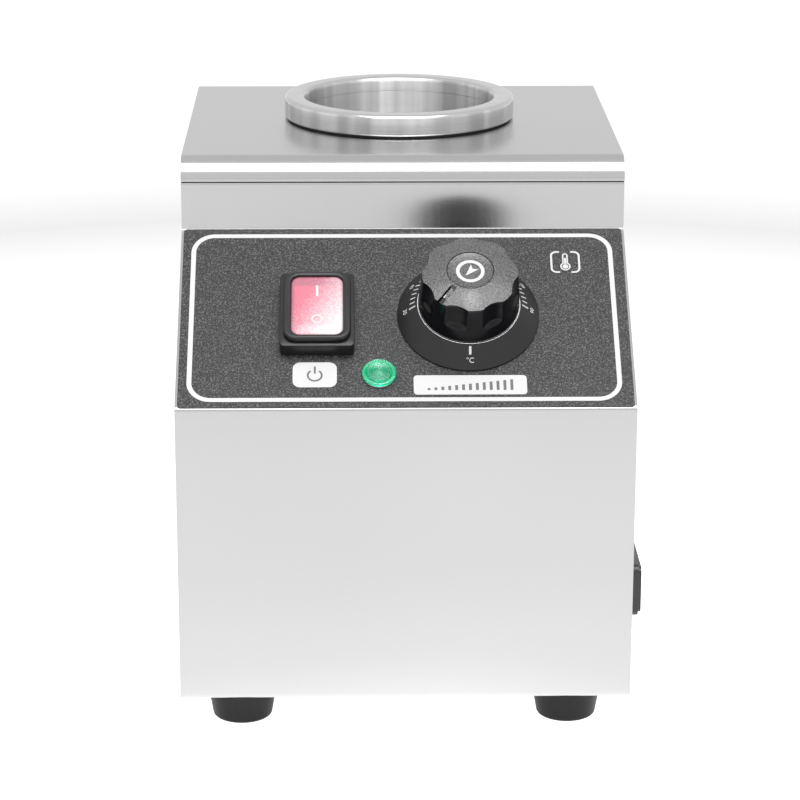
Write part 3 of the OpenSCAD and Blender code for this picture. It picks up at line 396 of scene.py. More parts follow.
def moulded(name, colour, rough, grain=1800, depth=0.00003, strength=0.25, **sockets):
    """Moulded plastic or rubber with the mould's own fine texture."""
    f = Finish(name, colour, rough, 0.0, **sockets)
    fine = f.noise((grain, grain, grain), 3.0)
    broad = f.noise((60, 60, 60), 2.0)
    f.rough(broad, rough * 0.88, min(1.0, rough * 1.15))
    f.bump(fine, strength, depth)
    return f.material


def satin_grain(name):
    """Spark-textured plastic whose grain glitters where the light falls on it."""
    f = Finish(name, (0.025, 0.025, 0.026), 0.28, Specular_IOR_Level=0.95,
               Coat_Weight=0.5, Coat_Roughness=0.18)
    grain = f.noise((1500, 1500, 1500), 2.0)
    f.colour(grain, (0.0, 0.0, 0.0), (0.055, 0.055, 0.056), 0.42, 0.66)
    f.rough(grain, 0.18, 0.46)
    f.bump(grain, 1.0, 0.0005)
    return f.material


def plain_metal(name, colour, rough, grain=900):
    f = Finish(name, colour, rough, 1.0)
    fine = f.noise((grain, grain, grain), 3.0)
    f.rough(fine, rough * 0.8, rough * 1.3)
    f.bump(fine, 0.08, 0.00002)
    return f.material


def clear(name, colour, rough, **sockets):
    f = Finish(name, colour, rough, 0.0, **sockets)
    f.bump(f.noise((400, 400, 400), 2.0), 0.05, 0.00004)
    return f.material


def hazed(name):
    """Clear soft plastic, tinted pink towards the upper left as a painted red glow of the rocker, and whiter
    towards the lower right as a painted sheen; its alpha rises the same way.
    """
    f = Finish(name, (1.0, 0.86, 0.88), 0.20, 0.0, Specular_IOR_Level=0.8)
    low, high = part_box("switch_membrane")
    across = f.nodes.new("ShaderNodeVectorMath")
    across.operation = "DOT_PRODUCT"
    along = Vector((1 / (high.x - low.x), 0, -0.8 / (high.z - low.z)))
    across.inputs[1].default_value = along
    shift = f.nodes.new("ShaderNodeMath")
    shift.operation = "SUBTRACT"
    shift.inputs[1].default_value = along.dot((low + high) / 2)
    joined = f.nodes.new("ShaderNodeMath")
    joined.operation = "ADD"
    f.links.new(f.place, across.inputs[0])
    f.links.new(across.outputs["Value"], shift.inputs[0])
    f.links.new(shift.outputs[0], joined.inputs[0])
    f.links.new(f.noise((1100, 1100, 1100), 3.0), joined.inputs[1])
    # Colour and alpha follow the painted sheen: whiter and less clear towards the lower right.
    f.links.new(f.ramp(joined.outputs[0], 0.42, 0.60, 0.0, 1.15), f.shader.inputs["Alpha"])
    f.colour(joined.outputs[0], (0.66, 0.24, 0.32), (0.78, 0.75, 0.76), 0.2, 1.05)
    f.bump(f.noise((500, 500, 500), 2.0), 0.15, 0.00006)
    return f.material


def woven(name, colour, dark):
    f = Finish(name, colour, 0.95)
    fibres = f.noise((400, 400, 1400), 5.0)
    f.colour(fibres, dark, colour)
    f.bump(fibres, 0.8, 0.0006)
    return f.material


front_steel = brushed_sheet("front_steel", (7000, 40, 40), (1, 0, 0))
side_steel = brushed_sheet("side_steel", (40, 7000, 40), (0, 1, 0))
# The dull and bright colours of the turned steels are the ends of their painted reflection streaks,
# strongest on the pot.
collar_steel = turned_steel("collar_steel", (0.52, 0.52, 0.52), (0.56, 0.56, 0.56), 0.16, 0.05, 0.3)
collar_wall = turned_steel("collar_wall", (0.42, 0.42, 0.42), (0.66, 0.66, 0.66), 0.20, 0.05, 0.6)
pot_steel = turned_steel("pot_steel", (0.50, 0.50, 0.50), (0.82, 0.82, 0.82), 0.42, 0.1, 0.9)
bright_zinc = plain_metal("bright_zinc", (0.62, 0.62, 0.63), 0.25)
trim_silver = plain_metal("trim_silver", (0.80, 0.80, 0.80), 0.22)
plate_aluminium = plain_metal("plate_aluminium", (0.66, 0.66, 0.66), 0.38)
foil = plain_metal("foil", (0.75, 0.75, 0.76), 0.30, 300)
brass = plain_metal("brass", (0.66, 0.52, 0.26), 0.30)
copper = plain_metal("copper", (0.66, 0.36, 0.22), 0.32)
film_black = grained_film("film_black")
ink_white = moulded("ink_white", (0.48, 0.48, 0.48), 0.5, 2600, 0.00001, 0.1)
ink_grey = moulded("ink_grey", (0.10, 0.10, 0.10), 0.5, 2600, 0.00001, 0.1)
knob_gloss = moulded("knob_gloss", (0.002, 0.002, 0.003), 0.22, 900, 0.00001, 0.1, Specular_IOR_Level=0.2)
knob_satin = satin_grain("knob_satin")
dial_satin = moulded("dial_satin", (0.007, 0.007, 0.008), 0.36, 1400, 0.00002, 0.2, Specular_IOR_Level=0.4)
boot_black = moulded("boot_black", (0.008, 0.008, 0.009), 0.32, 1200, 0.00003, 0.2, Specular_IOR_Level=0.4)
foot_black = moulded("foot_black", (0.006, 0.006, 0.006), 0.5, 900, 0.00006, 0.4, Specular_IOR_Level=0.25)
gasket_black = moulded("gasket_black", (0.010, 0.010, 0.010), 0.7)
inlet_black = moulded("inlet_black", (0.020, 0.020, 0.021), 0.28, 900, 0.00002, 0.2)
resin_brown = moulded("resin_brown", (0.12, 0.05, 0.02), 0.35)
case_grey = plain_metal("case_grey", (0.40, 0.40, 0.41), 0.5)
ceramic_white = moulded("ceramic_white", (0.80, 0.78, 0.72), 0.3)
lamp_white = moulded("lamp_white", (0.80, 0.80, 0.80), 0.3)
mica_tan = woven("mica_tan", (0.45, 0.40, 0.28), (0.25, 0.21, 0.13))
glass_wool = woven("glass_wool", (0.78, 0.70, 0.48), (0.50, 0.42, 0.24))
sheath_white = moulded("sheath_white", (0.72, 0.72, 0.70), 0.6)
# The rocker's faint emission is a painted glow that brightens its red.
rocker_red = moulded("rocker_red", (0.70, 0.015, 0.05), 0.28, 900, 0.00001, 0.1,
                     Emission_Color=(1.0, 0.04, 0.12, 1), Emission_Strength=0.12)
membrane_clear = hazed("membrane_clear")
lens_green = clear("lens_green", (0.02, 0.66, 0.38), 0.03, Transmission_Weight=0.85, IOR=1.49,
                   Coat_Weight=1.0, Emission_Color=(0.03, 0.9, 0.5, 1), Emission_Strength=0.03)
bulb_glass = clear("bulb_glass", (1.0, 0.75, 0.55), 0.05, Alpha=0.5)

NODE_FINISH = {
    front_steel: ["front_panel", "rear_panel", "base_plate", "top_cover"],
    side_steel: ["side_panel_left", "side_panel_right"],
    bright_zinc: [
        "rating_plate_rivets", "foot_screws", "foot_nuts", "base_screws", "rear_screws", "cover_screws",
        "collar_studs", "collar_nuts", "heater_clamp_screws", "cutout_screws", "thermostat_shaft",
        "thermostat_screws", "bulb_clip", "knob_spring", "lamp_clip", "inlet_screws", "block_screws",
        "earth_stud",
    ],
    collar_steel: ["collar_ring"],
    pot_steel: ["bath_pot"],
    film_black: ["control_overlay"],
    plate_aluminium: ["rating_plate"],
    foil: ["insulation_jacket"],
    brass: ["switch_contact_arms", "switch_terminals", "inlet_pins"],
    copper: ["thermostat_bulb", "capillary_tube"],
    foot_black: ["foot_front_left", "foot_front_right", "foot_rear_left", "foot_rear_right"],
    gasket_black: ["collar_gasket"],
    boot_black: ["switch_frame", "switch_housing"],
    knob_gloss: ["knob"],
    knob_satin: ["knob_cap"],
    dial_satin: ["dial_skirt"],
    inlet_black: ["inlet_housing"],
    resin_brown: ["limit_cutout"],
    case_grey: ["thermostat_body"],
    ceramic_white: ["heater_terminals", "terminal_block"],
    lamp_white: ["lamp_body"],
    mica_tan: ["heater_band"],
    glass_wool: ["insulation_sleeve"],
    sheath_white: ["mains_wires", "heater_wires", "lamp_wires"],
    rocker_red: ["switch_rocker"],
    membrane_clear: ["switch_membrane"],
    lens_green: ["lamp_lens"],
    bulb_glass: ["lamp_bulb"],
}


def finish_nodes():
    for material, names in NODE_FINISH.items():
        for name in names:
            mesh = frame["nodes"][name].data
            mesh.materials.clear()
            mesh.materials.append(material)


# ---- Well ----------------------------------------------------------------

WELL_R = 40.5
COLLAR_R = (COLLAR_HIGH.x - COLLAR_LOW.x) / 2 / MM
COLLAR_H = (COLLAR_HIGH.z - COLLAR_LOW.z) / MM
POT_H = (POT_HIGH.z - POT_LOW.z) / MM
BOSS_H = 5.0


def collar():
    bm = bmesh.new()
    seat_r, seat_h = WELL_R + 1.1, 3.0
    finishes = [collar_steel, collar_wall, pot_steel]
    lathe(bm, rounded([
        (seat_r, 0), (COLLAR_R, 0, 1.2), (COLLAR_R, COLLAR_H, 1.9), (WELL_R, COLLAR_H, 2.2),
        (WELL_R, seat_h), (seat_r, seat_h),
    ], steps=10), 256, True)
    for face in bm.faces:
        spot = face.calc_center_median()
        radius = math.hypot(spot.x, spot.y)
        inner = radius < WELL_R + 0.5 and spot.z < COLLAR_H - 1
        outer = radius > COLLAR_R - 0.5 and spot.z < COLLAR_H - 1
        face.material_index = 2 if inner else 1 if outer else 0
    centre = (COLLAR_LOW + COLLAR_HIGH) / 2
    piece("collar", bm, upright(centre.x, centre.y, COLLAR_LOW.z), finishes, CASING,
          ["collar_ring"])


def well_pot():
    bm = bmesh.new()
    wall, bottom, corner = 1.0, BOSS_H, 6.0
    boss_r, boss_hole, boss_x = 3.5, 1.6, 14
    lathe(bm, rounded([
        (0, bottom), (WELL_R + wall, bottom, corner + wall), (WELL_R + wall, POT_H), (WELL_R, POT_H),
        (WELL_R, bottom + 1.5, corner), (0, bottom + 1.5),
    ], closed=False, steps=10), 192, False)
    for side in (-1, 1):
        ring_prism(bm, shifted(circle(boss_r, 32), side * boss_x, 0),
                   shifted(circle(boss_hole, 32), side * boss_x, 0), 0, bottom)
    centre = (POT_LOW + POT_HIGH) / 2
    piece("well_pot", bm, upright(centre.x, centre.y, POT_LOW.z), pot_steel, CASING,
          ["bath_pot"])


# ---- Feet ----------------------------------------------------------------


def rubber_foot(node):
    low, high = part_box(node)
    top_r, height = (high.x - low.x) / 2 / MM, (high.z - low.z) / MM
    tip_r, recess_r, hole_r = 11.8, 5.4, 2.8
    bm = bmesh.new()
    lathe(bm, rounded([
        (recess_r, 0, 0.3), (tip_r, 0, 1.8), (top_r - 0.25, height - 1.8, 0.6), (top_r, height - 1.2, 0.3),
        (top_r, height, 0.2), (hole_r, height), (hole_r, height / 2), (recess_r, height / 2),
    ]), 96, True)
    centre = (low + high) / 2
    piece(node + "_moulding", bm, upright(centre.x, centre.y, low.z), foot_black, CASING,
          [node])


# ---- Control face --------------------------------------------------------

FILM_TOP = 0.4
INK_H = 0.05
FACE_W, FACE_L = 176.2, 90.0
FACE_MID = 46.2
BORDER_W, BORDER_L, BORDER_LINE, BORDER_X = 170.3, 85.8, 1.9, -0.5


def printed(name, bm, finish, place=None):
    return piece(name, bm, place or FACE_AT, finish, CASING)


def face_border():
    bm = bmesh.new()
    radius = 9.5
    outer = rectangle(BORDER_W, BORDER_L, radius, 12)
    inner = rectangle(BORDER_W - 2 * BORDER_LINE, BORDER_L - 2 * BORDER_LINE, radius - BORDER_LINE, 12)
    ring_prism(bm, shifted(outer, BORDER_X, 0), shifted(inner, BORDER_X, 0), FILM_TOP, FILM_TOP + INK_H)
    printed("face_border", bm, ink_white)


def film_edge():
    """The film's own margin, which runs out to the fold of the sheet."""
    bm = bmesh.new()
    beyond_w, beyond_l, lapped = 1.8, 1.6, 0.4
    outer = rectangle(FACE_W + beyond_w, FACE_L + beyond_l, 1.4, 6)
    inner = rectangle(FACE_W - lapped, FACE_L - lapped, 0.9, 6)
    ring_prism(bm, outer, inner, 0.1, FILM_TOP + 0.01)
    printed("film_edge", bm, film_black)


def label(name, x, v, width, length, radius):
    bm = bmesh.new()
    top = FILM_TOP + 2 * INK_H
    prism(bm, shifted(rectangle(width, length, radius), x, v - FACE_MID), FILM_TOP, top)
    printed(name, bm, ink_white)
    return top


def power_label():
    x, v = -35.6, 16.5
    top = label("power_label", x, v, 17.3, 12.3, 3)
    y = v - FACE_MID
    bm = bmesh.new()
    radius, gap = 3.1, math.radians(38)
    arc = [math.pi / 2 + gap + (TURN - 2 * gap) * i / 40 for i in range(41)]
    line, drop = 0.75, 0.3
    bow = [(x + radius * math.cos(a), y - drop + radius * math.sin(a)) for a in arc]
    stroke(bm, bow, line, top, top + INK_H)
    prism(bm, shifted(rectangle(line, 3.6, 0.2), x, y + 2.3), top, top + INK_H)
    printed("power_symbol", bm, ink_grey)


def warmth_label():
    """A rising row of bars: more heat to the right."""
    x, v = 25.2, 11.3
    top = label("warmth_label", x, v, 44.3, 9.5, 1.5)
    bm = bmesh.new()
    bars, pitch, width = 13, 2.7, 1.15
    first, rise, foot = 1.0, 4.2, v - FACE_MID - 2.6
    for i in range(bars):
        tall = first + rise * i / (bars - 1)
        bar = shifted(rectangle(width, tall, 0.2), x + (i - (bars - 1) / 2) * pitch, foot + tall / 2)
        prism(bm, bar, top, top + INK_H)
    printed("warmth_bars", bm, ink_grey)


def thermometer_icon():
    x, y = 65.3, 74 - FACE_MID
    low, high = FILM_TOP, FILM_TOP + INK_H
    half_w, half_l, radius, line = 6.0, 5.7, 2.4, 0.8
    bm = bmesh.new()
    for side in (-1, 1):
        bracket = rounded([
            (x + side * 2.3, y + half_l), (x + side * half_w, y + half_l, radius),
            (x + side * half_w, y - half_l, radius), (x + side * 2.3, y - half_l),
        ], closed=False)
        stroke(bm, bracket, line, low, high)
    stem, bulb, rise = 1.15, 2.1, 3.4
    join = math.asin(stem / bulb)
    bulb_y = y - 2.3
    arc = [TURN * 0.75 + (math.pi - join) * (i / 16 - 1) for i in range(33)]
    tip = [math.pi * i / 12 for i in range(13)]
    glass = [(x + bulb * math.cos(a), bulb_y + bulb * math.sin(a)) for a in arc]
    glass += [(x + stem * math.cos(a), y + rise + stem * math.sin(a)) for a in tip]
    stroke(bm, glass, 0.55, low, high, closed=True)
    prism(bm, shifted(circle(1.15, 32), x, bulb_y), low, high)
    prism(bm, shifted(rectangle(0.8, 3.6), x, y + 0.2), low, high)
    printed("thermometer_icon", bm, ink_white)


# ---- Dial and knob -------------------------------------------------------

DIAL_R, DIAL_EDGE, DIAL_TOP_R, DIAL_H = 28.25, 1.2, 20.6, 8.0
TRIM_IN, TRIM_OUT, TRIM_LOW, TRIM_TOP = 19.95, 20.45, 7.2, 8.1
MARK_R, NUMBER_R = 22.4, 25.3
DIAL_TILT = math.atan2(DIAL_H - DIAL_EDGE, DIAL_R - DIAL_TOP_R)
FIRST_MARK, LAST_MARK = 88.0, 271.0
LOW_READING, HIGH_READING, READING_STEP, FINE_STEPS = 30, 90, 10, 5
POINTER = 40.0


def on_dial(radius, angle, lift=0.0):
    """A frame on the dial's cone: y towards the knob, z off the surface.
    The angle is clockwise from the off mark."""
    height = DIAL_EDGE + (DIAL_R - radius) * math.tan(DIAL_TILT)
    spot = Matrix.Translation((0, -radius, height)) @ Matrix.Rotation(DIAL_TILT, 4, "X")
    return Matrix.Rotation(-math.radians(angle), 4, "Z") @ spot @ Matrix.Translation((0, 0, lift))


def dial():
    bm = bmesh.new()
    lathe(bm, rounded([
        (5.2, FILM_TOP), (DIAL_R, FILM_TOP, 0.15), (DIAL_R, DIAL_EDGE, 0.25), (DIAL_TOP_R, DIAL_H, 0.2),
        (20.2, DIAL_H), (20.2, 2.4), (5.2, 2.4),
    ]), 256, True)
    piece("dial", bm, KNOB_AT, dial_satin, CASING, ["dial_skirt"])
    bm = bmesh.new()
    lathe(bm, rounded([
        (TRIM_IN, TRIM_LOW), (TRIM_OUT, TRIM_LOW), (TRIM_OUT, TRIM_TOP, 0.1), (TRIM_IN, TRIM_TOP, 0.1),
    ]), 256, True)
    piece("dial_trim", bm, KNOB_AT, trim_silver, CASING)


def text_mesh(words, size):
    curve = bpy.data.curves.new("numeral", "FONT")
    curve.body, curve.size, curve.extrude = words, size, INK_H / 2
    curve.align_x, curve.align_y = "CENTER", "CENTER"
    holder = bpy.data.objects.new("numeral", curve)
    bpy.context.collection.objects.link(holder)
    bpy.context.view_layer.update()
    mesh = bpy.data.meshes.new_from_object(holder.evaluated_get(bpy.context.evaluated_depsgraph_get()))
    bpy.data.objects.remove(holder)
    return mesh


def dial_marks():
    marks = bmesh.new()

    def add(mark, place):
        bmesh.ops.transform(mark, matrix=place, verts=mark.verts)
        scratch = bpy.data.meshes.new("mark")
        mark.to_mesh(scratch)
        mark.free()
        marks.from_mesh(scratch)
        bpy.data.meshes.remove(scratch)

    def bar(width, length, radius, angle):
        mark = bmesh.new()
        prism(mark, rectangle(width, length, 0.12, 3), 0, INK_H)
        add(mark, on_dial(radius, angle))

    steps = (HIGH_READING - LOW_READING) // READING_STEP * FINE_STEPS
    for i in range(steps + 1):
        angle = FIRST_MARK + (LAST_MARK - FIRST_MARK) * i / steps
        major = i % FINE_STEPS == 0
        bar(0.62 if major else 0.5, 3.3 if major else 2.6, MARK_R, angle)
        if major:
            reading = LOW_READING + READING_STEP * i // FINE_STEPS
            mark = bmesh.new()
            mark.from_mesh(text_mesh(str(reading), 2.7))
            add(mark, on_dial(NUMBER_R, angle, INK_H / 2))
    bar(0.95, 3.3, MARK_R, 0)
    mark = bmesh.new()
    mark.from_mesh(text_mesh("\N{DEGREE SIGN}C", 2.9))
    add(mark, on_dial(25.4, 0, INK_H / 2))
    piece("dial_marks", marks, KNOB_AT, ink_white, CASING)


KNOB_BASE, KNOB_R, KNOB_TOP_R, SIDE_TOP, CROWN = 3.0, 19.6, 18.95, 26.0, 28.5
SKIRT_R, SKIRT_LOW = 20.15, 8.25
CAP_R = 9.2
FLUTES, FLUTE_R, FLUTE_DEPTH, FLUTE_LOW, FLUTE_HIGH = 8, 11.5, 1.45, 15.0, 17.2


def crown_height(radius):
    share = max(0.0, (radius - CAP_R) / (KNOB_TOP_R - CAP_R))
    return CROWN - 2.3 * share ** 1.25


def smooth_step(x):
    x = min(1.0, max(0.0, x))
    return x * x * (3 - 2 * x)


def flute_cut(angle):
    """How far the flutes come in from the knob's side at that angle from the pointer."""
    pitch = TURN / FLUTES
    off = (angle % pitch) - pitch / 2
    reach = KNOB_TOP_R + FLUTE_R - FLUTE_DEPTH
    inside = FLUTE_R ** 2 - (reach * math.sin(off)) ** 2
    if inside <= 0:
        return 0.0
    cut = KNOB_TOP_R - (reach * math.cos(off) - math.sqrt(inside))
    return (cut + math.sqrt(cut * cut + 0.006)) / 2 if cut > -1.0 else 0.0


def knob_cover():
    bm = bmesh.new()
    dome = [(CAP_R + 0.15 + (KNOB_TOP_R - 0.5 - CAP_R) * k / 14, 0) for k in range(14, -1, -1)]
    profile = [(0, KNOB_BASE), (KNOB_R - 0.3, KNOB_BASE), (KNOB_R, KNOB_BASE + 0.3), (KNOB_R, SKIRT_LOW),
               (SKIRT_R - 0.1, SKIRT_LOW)]
    foot = Vector((SKIRT_R, SKIRT_LOW + 0.15))
    profile += [tuple(foot.lerp(Vector((KNOB_TOP_R, SIDE_TOP)), k / 24)) for k in range(25)]
    rim_top = crown_height(KNOB_TOP_R - 0.5)
    profile += [(KNOB_TOP_R - 0.12, SIDE_TOP + (rim_top - SIDE_TOP) * 0.65)]
    profile += [(r, crown_height(r)) for r, _ in dome]
    profile += [(CAP_R + 0.02, CROWN - 0.25), (CAP_R + 0.02, CROWN - 1.3), (0, CROWN - 1.3)]
    lathe(bm, profile, 384, False)
    point_to = math.radians(-90 - POINTER)
    for v in bm.verts:
        radius, height = math.hypot(v.co.x, v.co.y), v.co.z
        if radius < CAP_R + 0.1 or height < FLUTE_LOW:
            continue
        angle = math.atan2(v.co.y, v.co.x) - point_to
        cut = flute_cut(angle) * smooth_step((height - FLUTE_LOW) / (FLUTE_HIGH - FLUTE_LOW))
        share = (radius - CAP_R) / (KNOB_TOP_R - CAP_R) if height > SIDE_TOP else 1.0
        moved = radius - cut * min(1.0, share)
        if height > SIDE_TOP:
            height += crown_height(moved) - crown_height(radius)
            along, aside = moved * math.cos(angle), abs(moved * math.sin(angle))
            if along > 0:
                groove = smooth_step((1.25 - aside) / 0.5) * smooth_step((along - CAP_R - 0.9) / 0.8)
                height -= 1.1 * groove
        v.co.x *= moved / radius
        v.co.y *= moved / radius
        v.co.z = height
    for face in bm.faces:
        face.normal_update()
        level = face.calc_center_median()
        face.material_index = 1 if level.z > SIDE_TOP and abs(face.normal.z) > 0.55 else 0
    piece("knob_cover", bm, KNOB_AT, [knob_gloss, knob_satin], KNOB, ["knob"], sharp=38)


def knob_disc():
    bm = bmesh.new()
    low, rim = CROWN - 1.25, CROWN - 0.1
    dish = [(CAP_R * (1 - k / 20), rim - 0.55 * math.sin(math.pi / 2 * min(1, k / 9))) for k in range(1, 21)]
    wall = CAP_R - 0.02
    lathe(bm, [(0, low), (wall, low), (wall, rim - 0.2), (CAP_R - 0.2, rim), *dish], 128, False)
    piece("knob_disc", bm, KNOB_AT, knob_satin, KNOB, ["knob_cap"], sharp=45)
    level = rim - 0.55
    bm = bmesh.new()
    ring_prism(bm, circle(5.6, 96), circle(4.2, 96), level - 0.05, level + INK_H)
    tip, foot, half = 3.0, 2.8, 1.9
    spin = Matrix.Rotation(math.radians(-POINTER), 2)
    arrow = [spin @ Vector(p) for p in ((0, -tip), (half, foot), (0, foot - 1.3), (-half, foot))]
    edges = loop_of(bm, arrow, level - 0.05)
    bmesh.ops.contextual_create(bm, geom=edges)
    raise_faces(bm, [f for f in bm.faces if len(f.verts) == 4 and abs(f.normal.z) > 0.9 and
                     f.calc_center_median().xy.length < 2], 0.05 + INK_H)
    piece("knob_ring", bm, KNOB_AT, ink_white, KNOB)


def pointer_line():
    """The white dab in the bottom of the pointer's groove."""
    bm = bmesh.new()
    level = crown_height(16)
    prism(bm, shifted(rectangle(0.4, 1.5, 0.15), -0.3, -15.4), level - 0.9, level - 0.55)
    pointing = KNOB_AT @ Matrix.Rotation(math.radians(-POINTER), 4, "Z")
    piece("pointer_line", bm, pointing, ink_white, KNOB)


# ---- Switch --------------------------------------------------------------

FRAME_W, FRAME_L, FOOT_TOP, RIM_TOP = 29.5, 37.3, 6.6, 9.5
RIM_W, RIM_L, WINDOW_W, WINDOW_L = 26.7, 34.3, 20.5, 29.8
MEMBRANE_TOP = 9.35
ROCKER_W, ROCKER_REACH, ROCKER_TILT = 18.8, 13.2, math.radians(9)


def switch_boot():
    bm = bmesh.new()
    stack(bm, [
        (FRAME_W, FRAME_L, 2.0, FILM_TOP), (FRAME_W, FRAME_L, 2.0, FOOT_TOP - 0.5),
        (FRAME_W - 0.3, FRAME_L - 0.3, 1.9, FOOT_TOP - 0.15), (FRAME_W - 1.0, FRAME_L - 1.0, 1.6, FOOT_TOP),
        (RIM_W - 1.6, RIM_L - 1.6, 4.2, FOOT_TOP), (RIM_W - 1.6, RIM_L - 1.6, 4.2, FOOT_TOP + 0.6),
        (RIM_W, RIM_L, 5.0, FOOT_TOP + 0.7), (RIM_W, RIM_L, 5.0, RIM_TOP - 0.9),
        (RIM_W - 0.3, RIM_L - 0.3, 4.9, RIM_TOP - 0.4), (RIM_W - 0.9, RIM_L - 0.9, 4.6, RIM_TOP - 0.1),
        (RIM_W - 1.8, RIM_L - 1.8, 4.3, RIM_TOP), (WINDOW_W + 2.0, WINDOW_L + 2.0, 4.3, RIM_TOP),
        (WINDOW_W + 0.8, WINDOW_L + 0.8, 3.9, RIM_TOP - 0.15),
        (WINDOW_W + 0.2, WINDOW_L + 0.2, 3.6, RIM_TOP - 0.5),
        (WINDOW_W, WINDOW_L, 3.5, RIM_TOP - 1.0), (WINDOW_W, WINDOW_L, 3.5, FILM_TOP),
    ], hollow=True)
    piece("switch_boot", bm, SWITCH_AT, boot_black, CASING, ["switch_frame"], sharp=35)


def boot_membrane():
    bm = bmesh.new()
    w, l = WINDOW_W - 0.1, WINDOW_L - 0.1
    stack(bm, [
        (w, l, 3.5, 7.9), (w, l, 3.5, 8.3), (w - 0.6, l - 0.6, 3.3, 8.6), (w - 2.4, l - 2.4, 2.7, 8.9),
        (w - 4.6, l - 4.6, 2.0, 9.05), (w - 7.2, l - 7.6, 1.6, 9.1),
        (w - 7.6, l - 8.0, 1.5, MEMBRANE_TOP - 0.05), (w - 8.4, l - 8.8, 1.3, MEMBRANE_TOP),
    ])
    piece("boot_membrane", bm, SWITCH_AT, membrane_clear, CASING,
          ["switch_membrane"], sharp=60)


def rocker_button():
    bm = bmesh.new()
    end_h, mid_h, foot = 6.7, 4.6, -4.5
    section = rounded([
        (-ROCKER_REACH + 0.9, foot), (ROCKER_REACH - 0.9, foot), (ROCKER_REACH - 0.4, end_h, 0.8),
        (0, mid_h, 9), (-ROCKER_REACH + 0.4, end_h, 0.8),
    ])
    prism(bm, section, -ROCKER_W / 2, ROCKER_W / 2)
    soften(bm, 0.5, 3, lambda e: level_edge(ROCKER_W / 2)(e) or level_edge(-ROCKER_W / 2)(e))
    stand = Matrix(((0, 0, 1, 0), (1, 0, 0, 0), (0, 1, 0, 0), (0, 0, 0, 1)))
    tilted = ROCKER_AT @ Matrix.Rotation(ROCKER_TILT, 4, "X")
    piece("rocker_button", bm, tilted @ stand, rocker_red, ROCKER, ["switch_rocker"], sharp=35)


def membrane_marks():
    level = MEMBRANE_TOP - 0.02
    bm = bmesh.new()
    on_mark_y, off_mark_y = 7.0, -7.4
    prism(bm, shifted(rectangle(1.0, 5.4, 0.2), 0, on_mark_y), level, level + INK_H)
    ring_prism(bm, shifted(circle(2.3), 0, off_mark_y), shifted(circle(1.6), 0, off_mark_y),
               level, level + INK_H)
    piece("membrane_marks", bm, SWITCH_AT, ink_white, CASING)


# ---- Pilot lamp ----------------------------------------------------------

LENS_R, LENS_LOW = 6.7, 1.3


def pilot_lens():
    bm = bmesh.new()
    rim = [(0, LENS_LOW), (LENS_R, LENS_LOW), (LENS_R, 1.9), (6.5, 2.3), (6.1, 2.5), (5.6, 2.4),
           (5.1, 1.8), (4.8, 1.6)]
    centre_r, centre_h, crown, rings, wave = 4.5, 2.4, 1.2, 6, 0.1
    shares = [k / 84 for k in range(85)]
    centre = [(centre_r * (1 - share),
               centre_h + crown * math.sin(math.pi / 2 * share) + wave * math.cos(TURN * rings * share))
              for share in shares]
    lathe(bm, rim + centre, 96, False)
    piece("pilot_lens", bm, LAMP_AT, lens_green, CASING, ["lamp_lens"], sharp=60)


# ---- Top cover -----------------------------------------------------------

LIP_H = 9.4


def lip_joint():
    """A dark strip under the top cover's front lip, a painted shadow line where the lip ends over the front
    panel.
    """
    low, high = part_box("top_cover")
    bm = bmesh.new()
    prism(bm, rectangle((high.x - low.x) / MM - 0.4, 0.5), -0.4, 0)
    set_in = 0.85
    place = upright((low.x + high.x) / 2, low.y + set_in * MM, high.z - LIP_H * MM)
    # Gasket black serves here only as the colour of the painted shadow line.
    piece("lip_joint", bm, place, gasket_black, CASING)


# ---- Stage ---------------------------------------------------------------

# The table glows near the object: distance in metres, level.
GLOW = [(0.13, 1.10), (0.20, 0.64), (0.32, 0.44), (0.55, 0.37), (0.80, 0.05), (1.0, 0.32)]


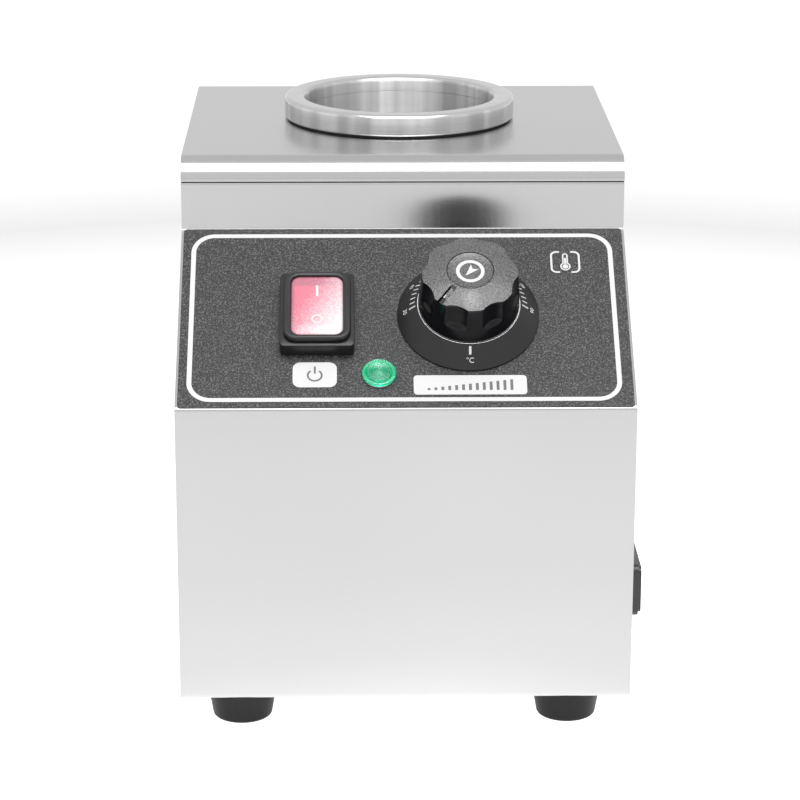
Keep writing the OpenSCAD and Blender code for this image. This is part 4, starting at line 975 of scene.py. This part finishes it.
def add_floor():
    bm = bmesh.new()
    bmesh.ops.create_grid(bm, x_segments=1, y_segments=1, size=8)
    mesh = bpy.data.meshes.new("floor")
    bm.to_mesh(mesh)
    bm.free()
    floor = bpy.data.objects.new("floor", mesh)
    paint = Finish("floor_paint", (0.60, 0.60, 0.60), 0.9)
    length = paint.nodes.new("ShaderNodeVectorMath")
    length.operation = "LENGTH"
    paint.links.new(paint.place, length.inputs[0])
    glow = paint.nodes.new("ShaderNodeValToRGB")
    stops = glow.color_ramp.elements
    for stop, (distance, level) in zip(stops, (GLOW[0], GLOW[-1])):
        stop.position, stop.color = distance, as_colour(level)
    for distance, level in GLOW[1:-1]:
        stops.new(distance).color = as_colour(level)
    paint.links.new(length.outputs["Value"], glow.inputs["Fac"])
    paint.links.new(glow.outputs["Color"], paint.shader.inputs["Emission Color"])
    paint.shader.inputs["Emission Strength"].default_value = 1.0
    mesh.materials.append(paint.material)
    bpy.context.collection.objects.link(floor)


def add_softbox(name, place, size, power, aim=(0, 0, 0.1)):
    light = bpy.data.lights.new(name, "AREA")
    light.shape, light.size, light.size_y = "RECTANGLE", size[0], size[1]
    light.energy = power
    box = bpy.data.objects.new(name, light)
    box.location = place
    box.rotation_mode = "QUATERNION"
    box.rotation_quaternion = (Vector(aim) - Vector(place)).to_track_quat("-Z", "Y")
    bpy.context.collection.objects.link(box)


WORLD_FRONT, WORLD_BACK = 1.12, 0.90


def add_world():
    world = bpy.data.worlds.new("studio")
    world.use_nodes = True
    nodes, links = world.node_tree.nodes, world.node_tree.links
    where = nodes.new("ShaderNodeTexCoord")
    apart = nodes.new("ShaderNodeSeparateXYZ")
    spread = nodes.new("ShaderNodeMapRange")
    for key, value in (("From Min", -1), ("From Max", 1), ("To Min", WORLD_FRONT), ("To Max", WORLD_BACK)):
        spread.inputs[key].default_value = value
    links.new(where.outputs["Generated"], apart.inputs[0])
    links.new(apart.outputs["Y"], spread.inputs["Value"])
    links.new(spread.outputs["Result"], nodes["Background"].inputs["Strength"])
    nodes["Background"].inputs["Color"].default_value = (1, 1, 1, 1)
    bpy.context.scene.world = world


def add_stage():
    add_floor()
    add_world()
    add_softbox("overhead_softbox", (0.05, -0.78, 1.46), (1.7, 1.15), 24, (0.0, -0.08, 0.2))
    add_softbox("small_softbox", (0.09, -0.62, 1.42), (0.22, 0.26), 2.0, (0.02, -0.09, 0.2))
    bpy.context.scene.view_settings.view_transform = "Standard"


# ---- Everything ----------------------------------------------------------

add_camera()
add_stage()
finish_nodes()
collar()
well_pot()
for foot in ("foot_front_left", "foot_front_right", "foot_rear_left", "foot_rear_right"):
    rubber_foot(foot)
face_border()
film_edge()
power_label()
warmth_label()
thermometer_icon()
dial()
dial_marks()
knob_cover()
knob_disc()
pointer_line()
switch_boot()
boot_membrane()
membrane_marks()
rocker_button()
lip_joint()
pilot_lens()
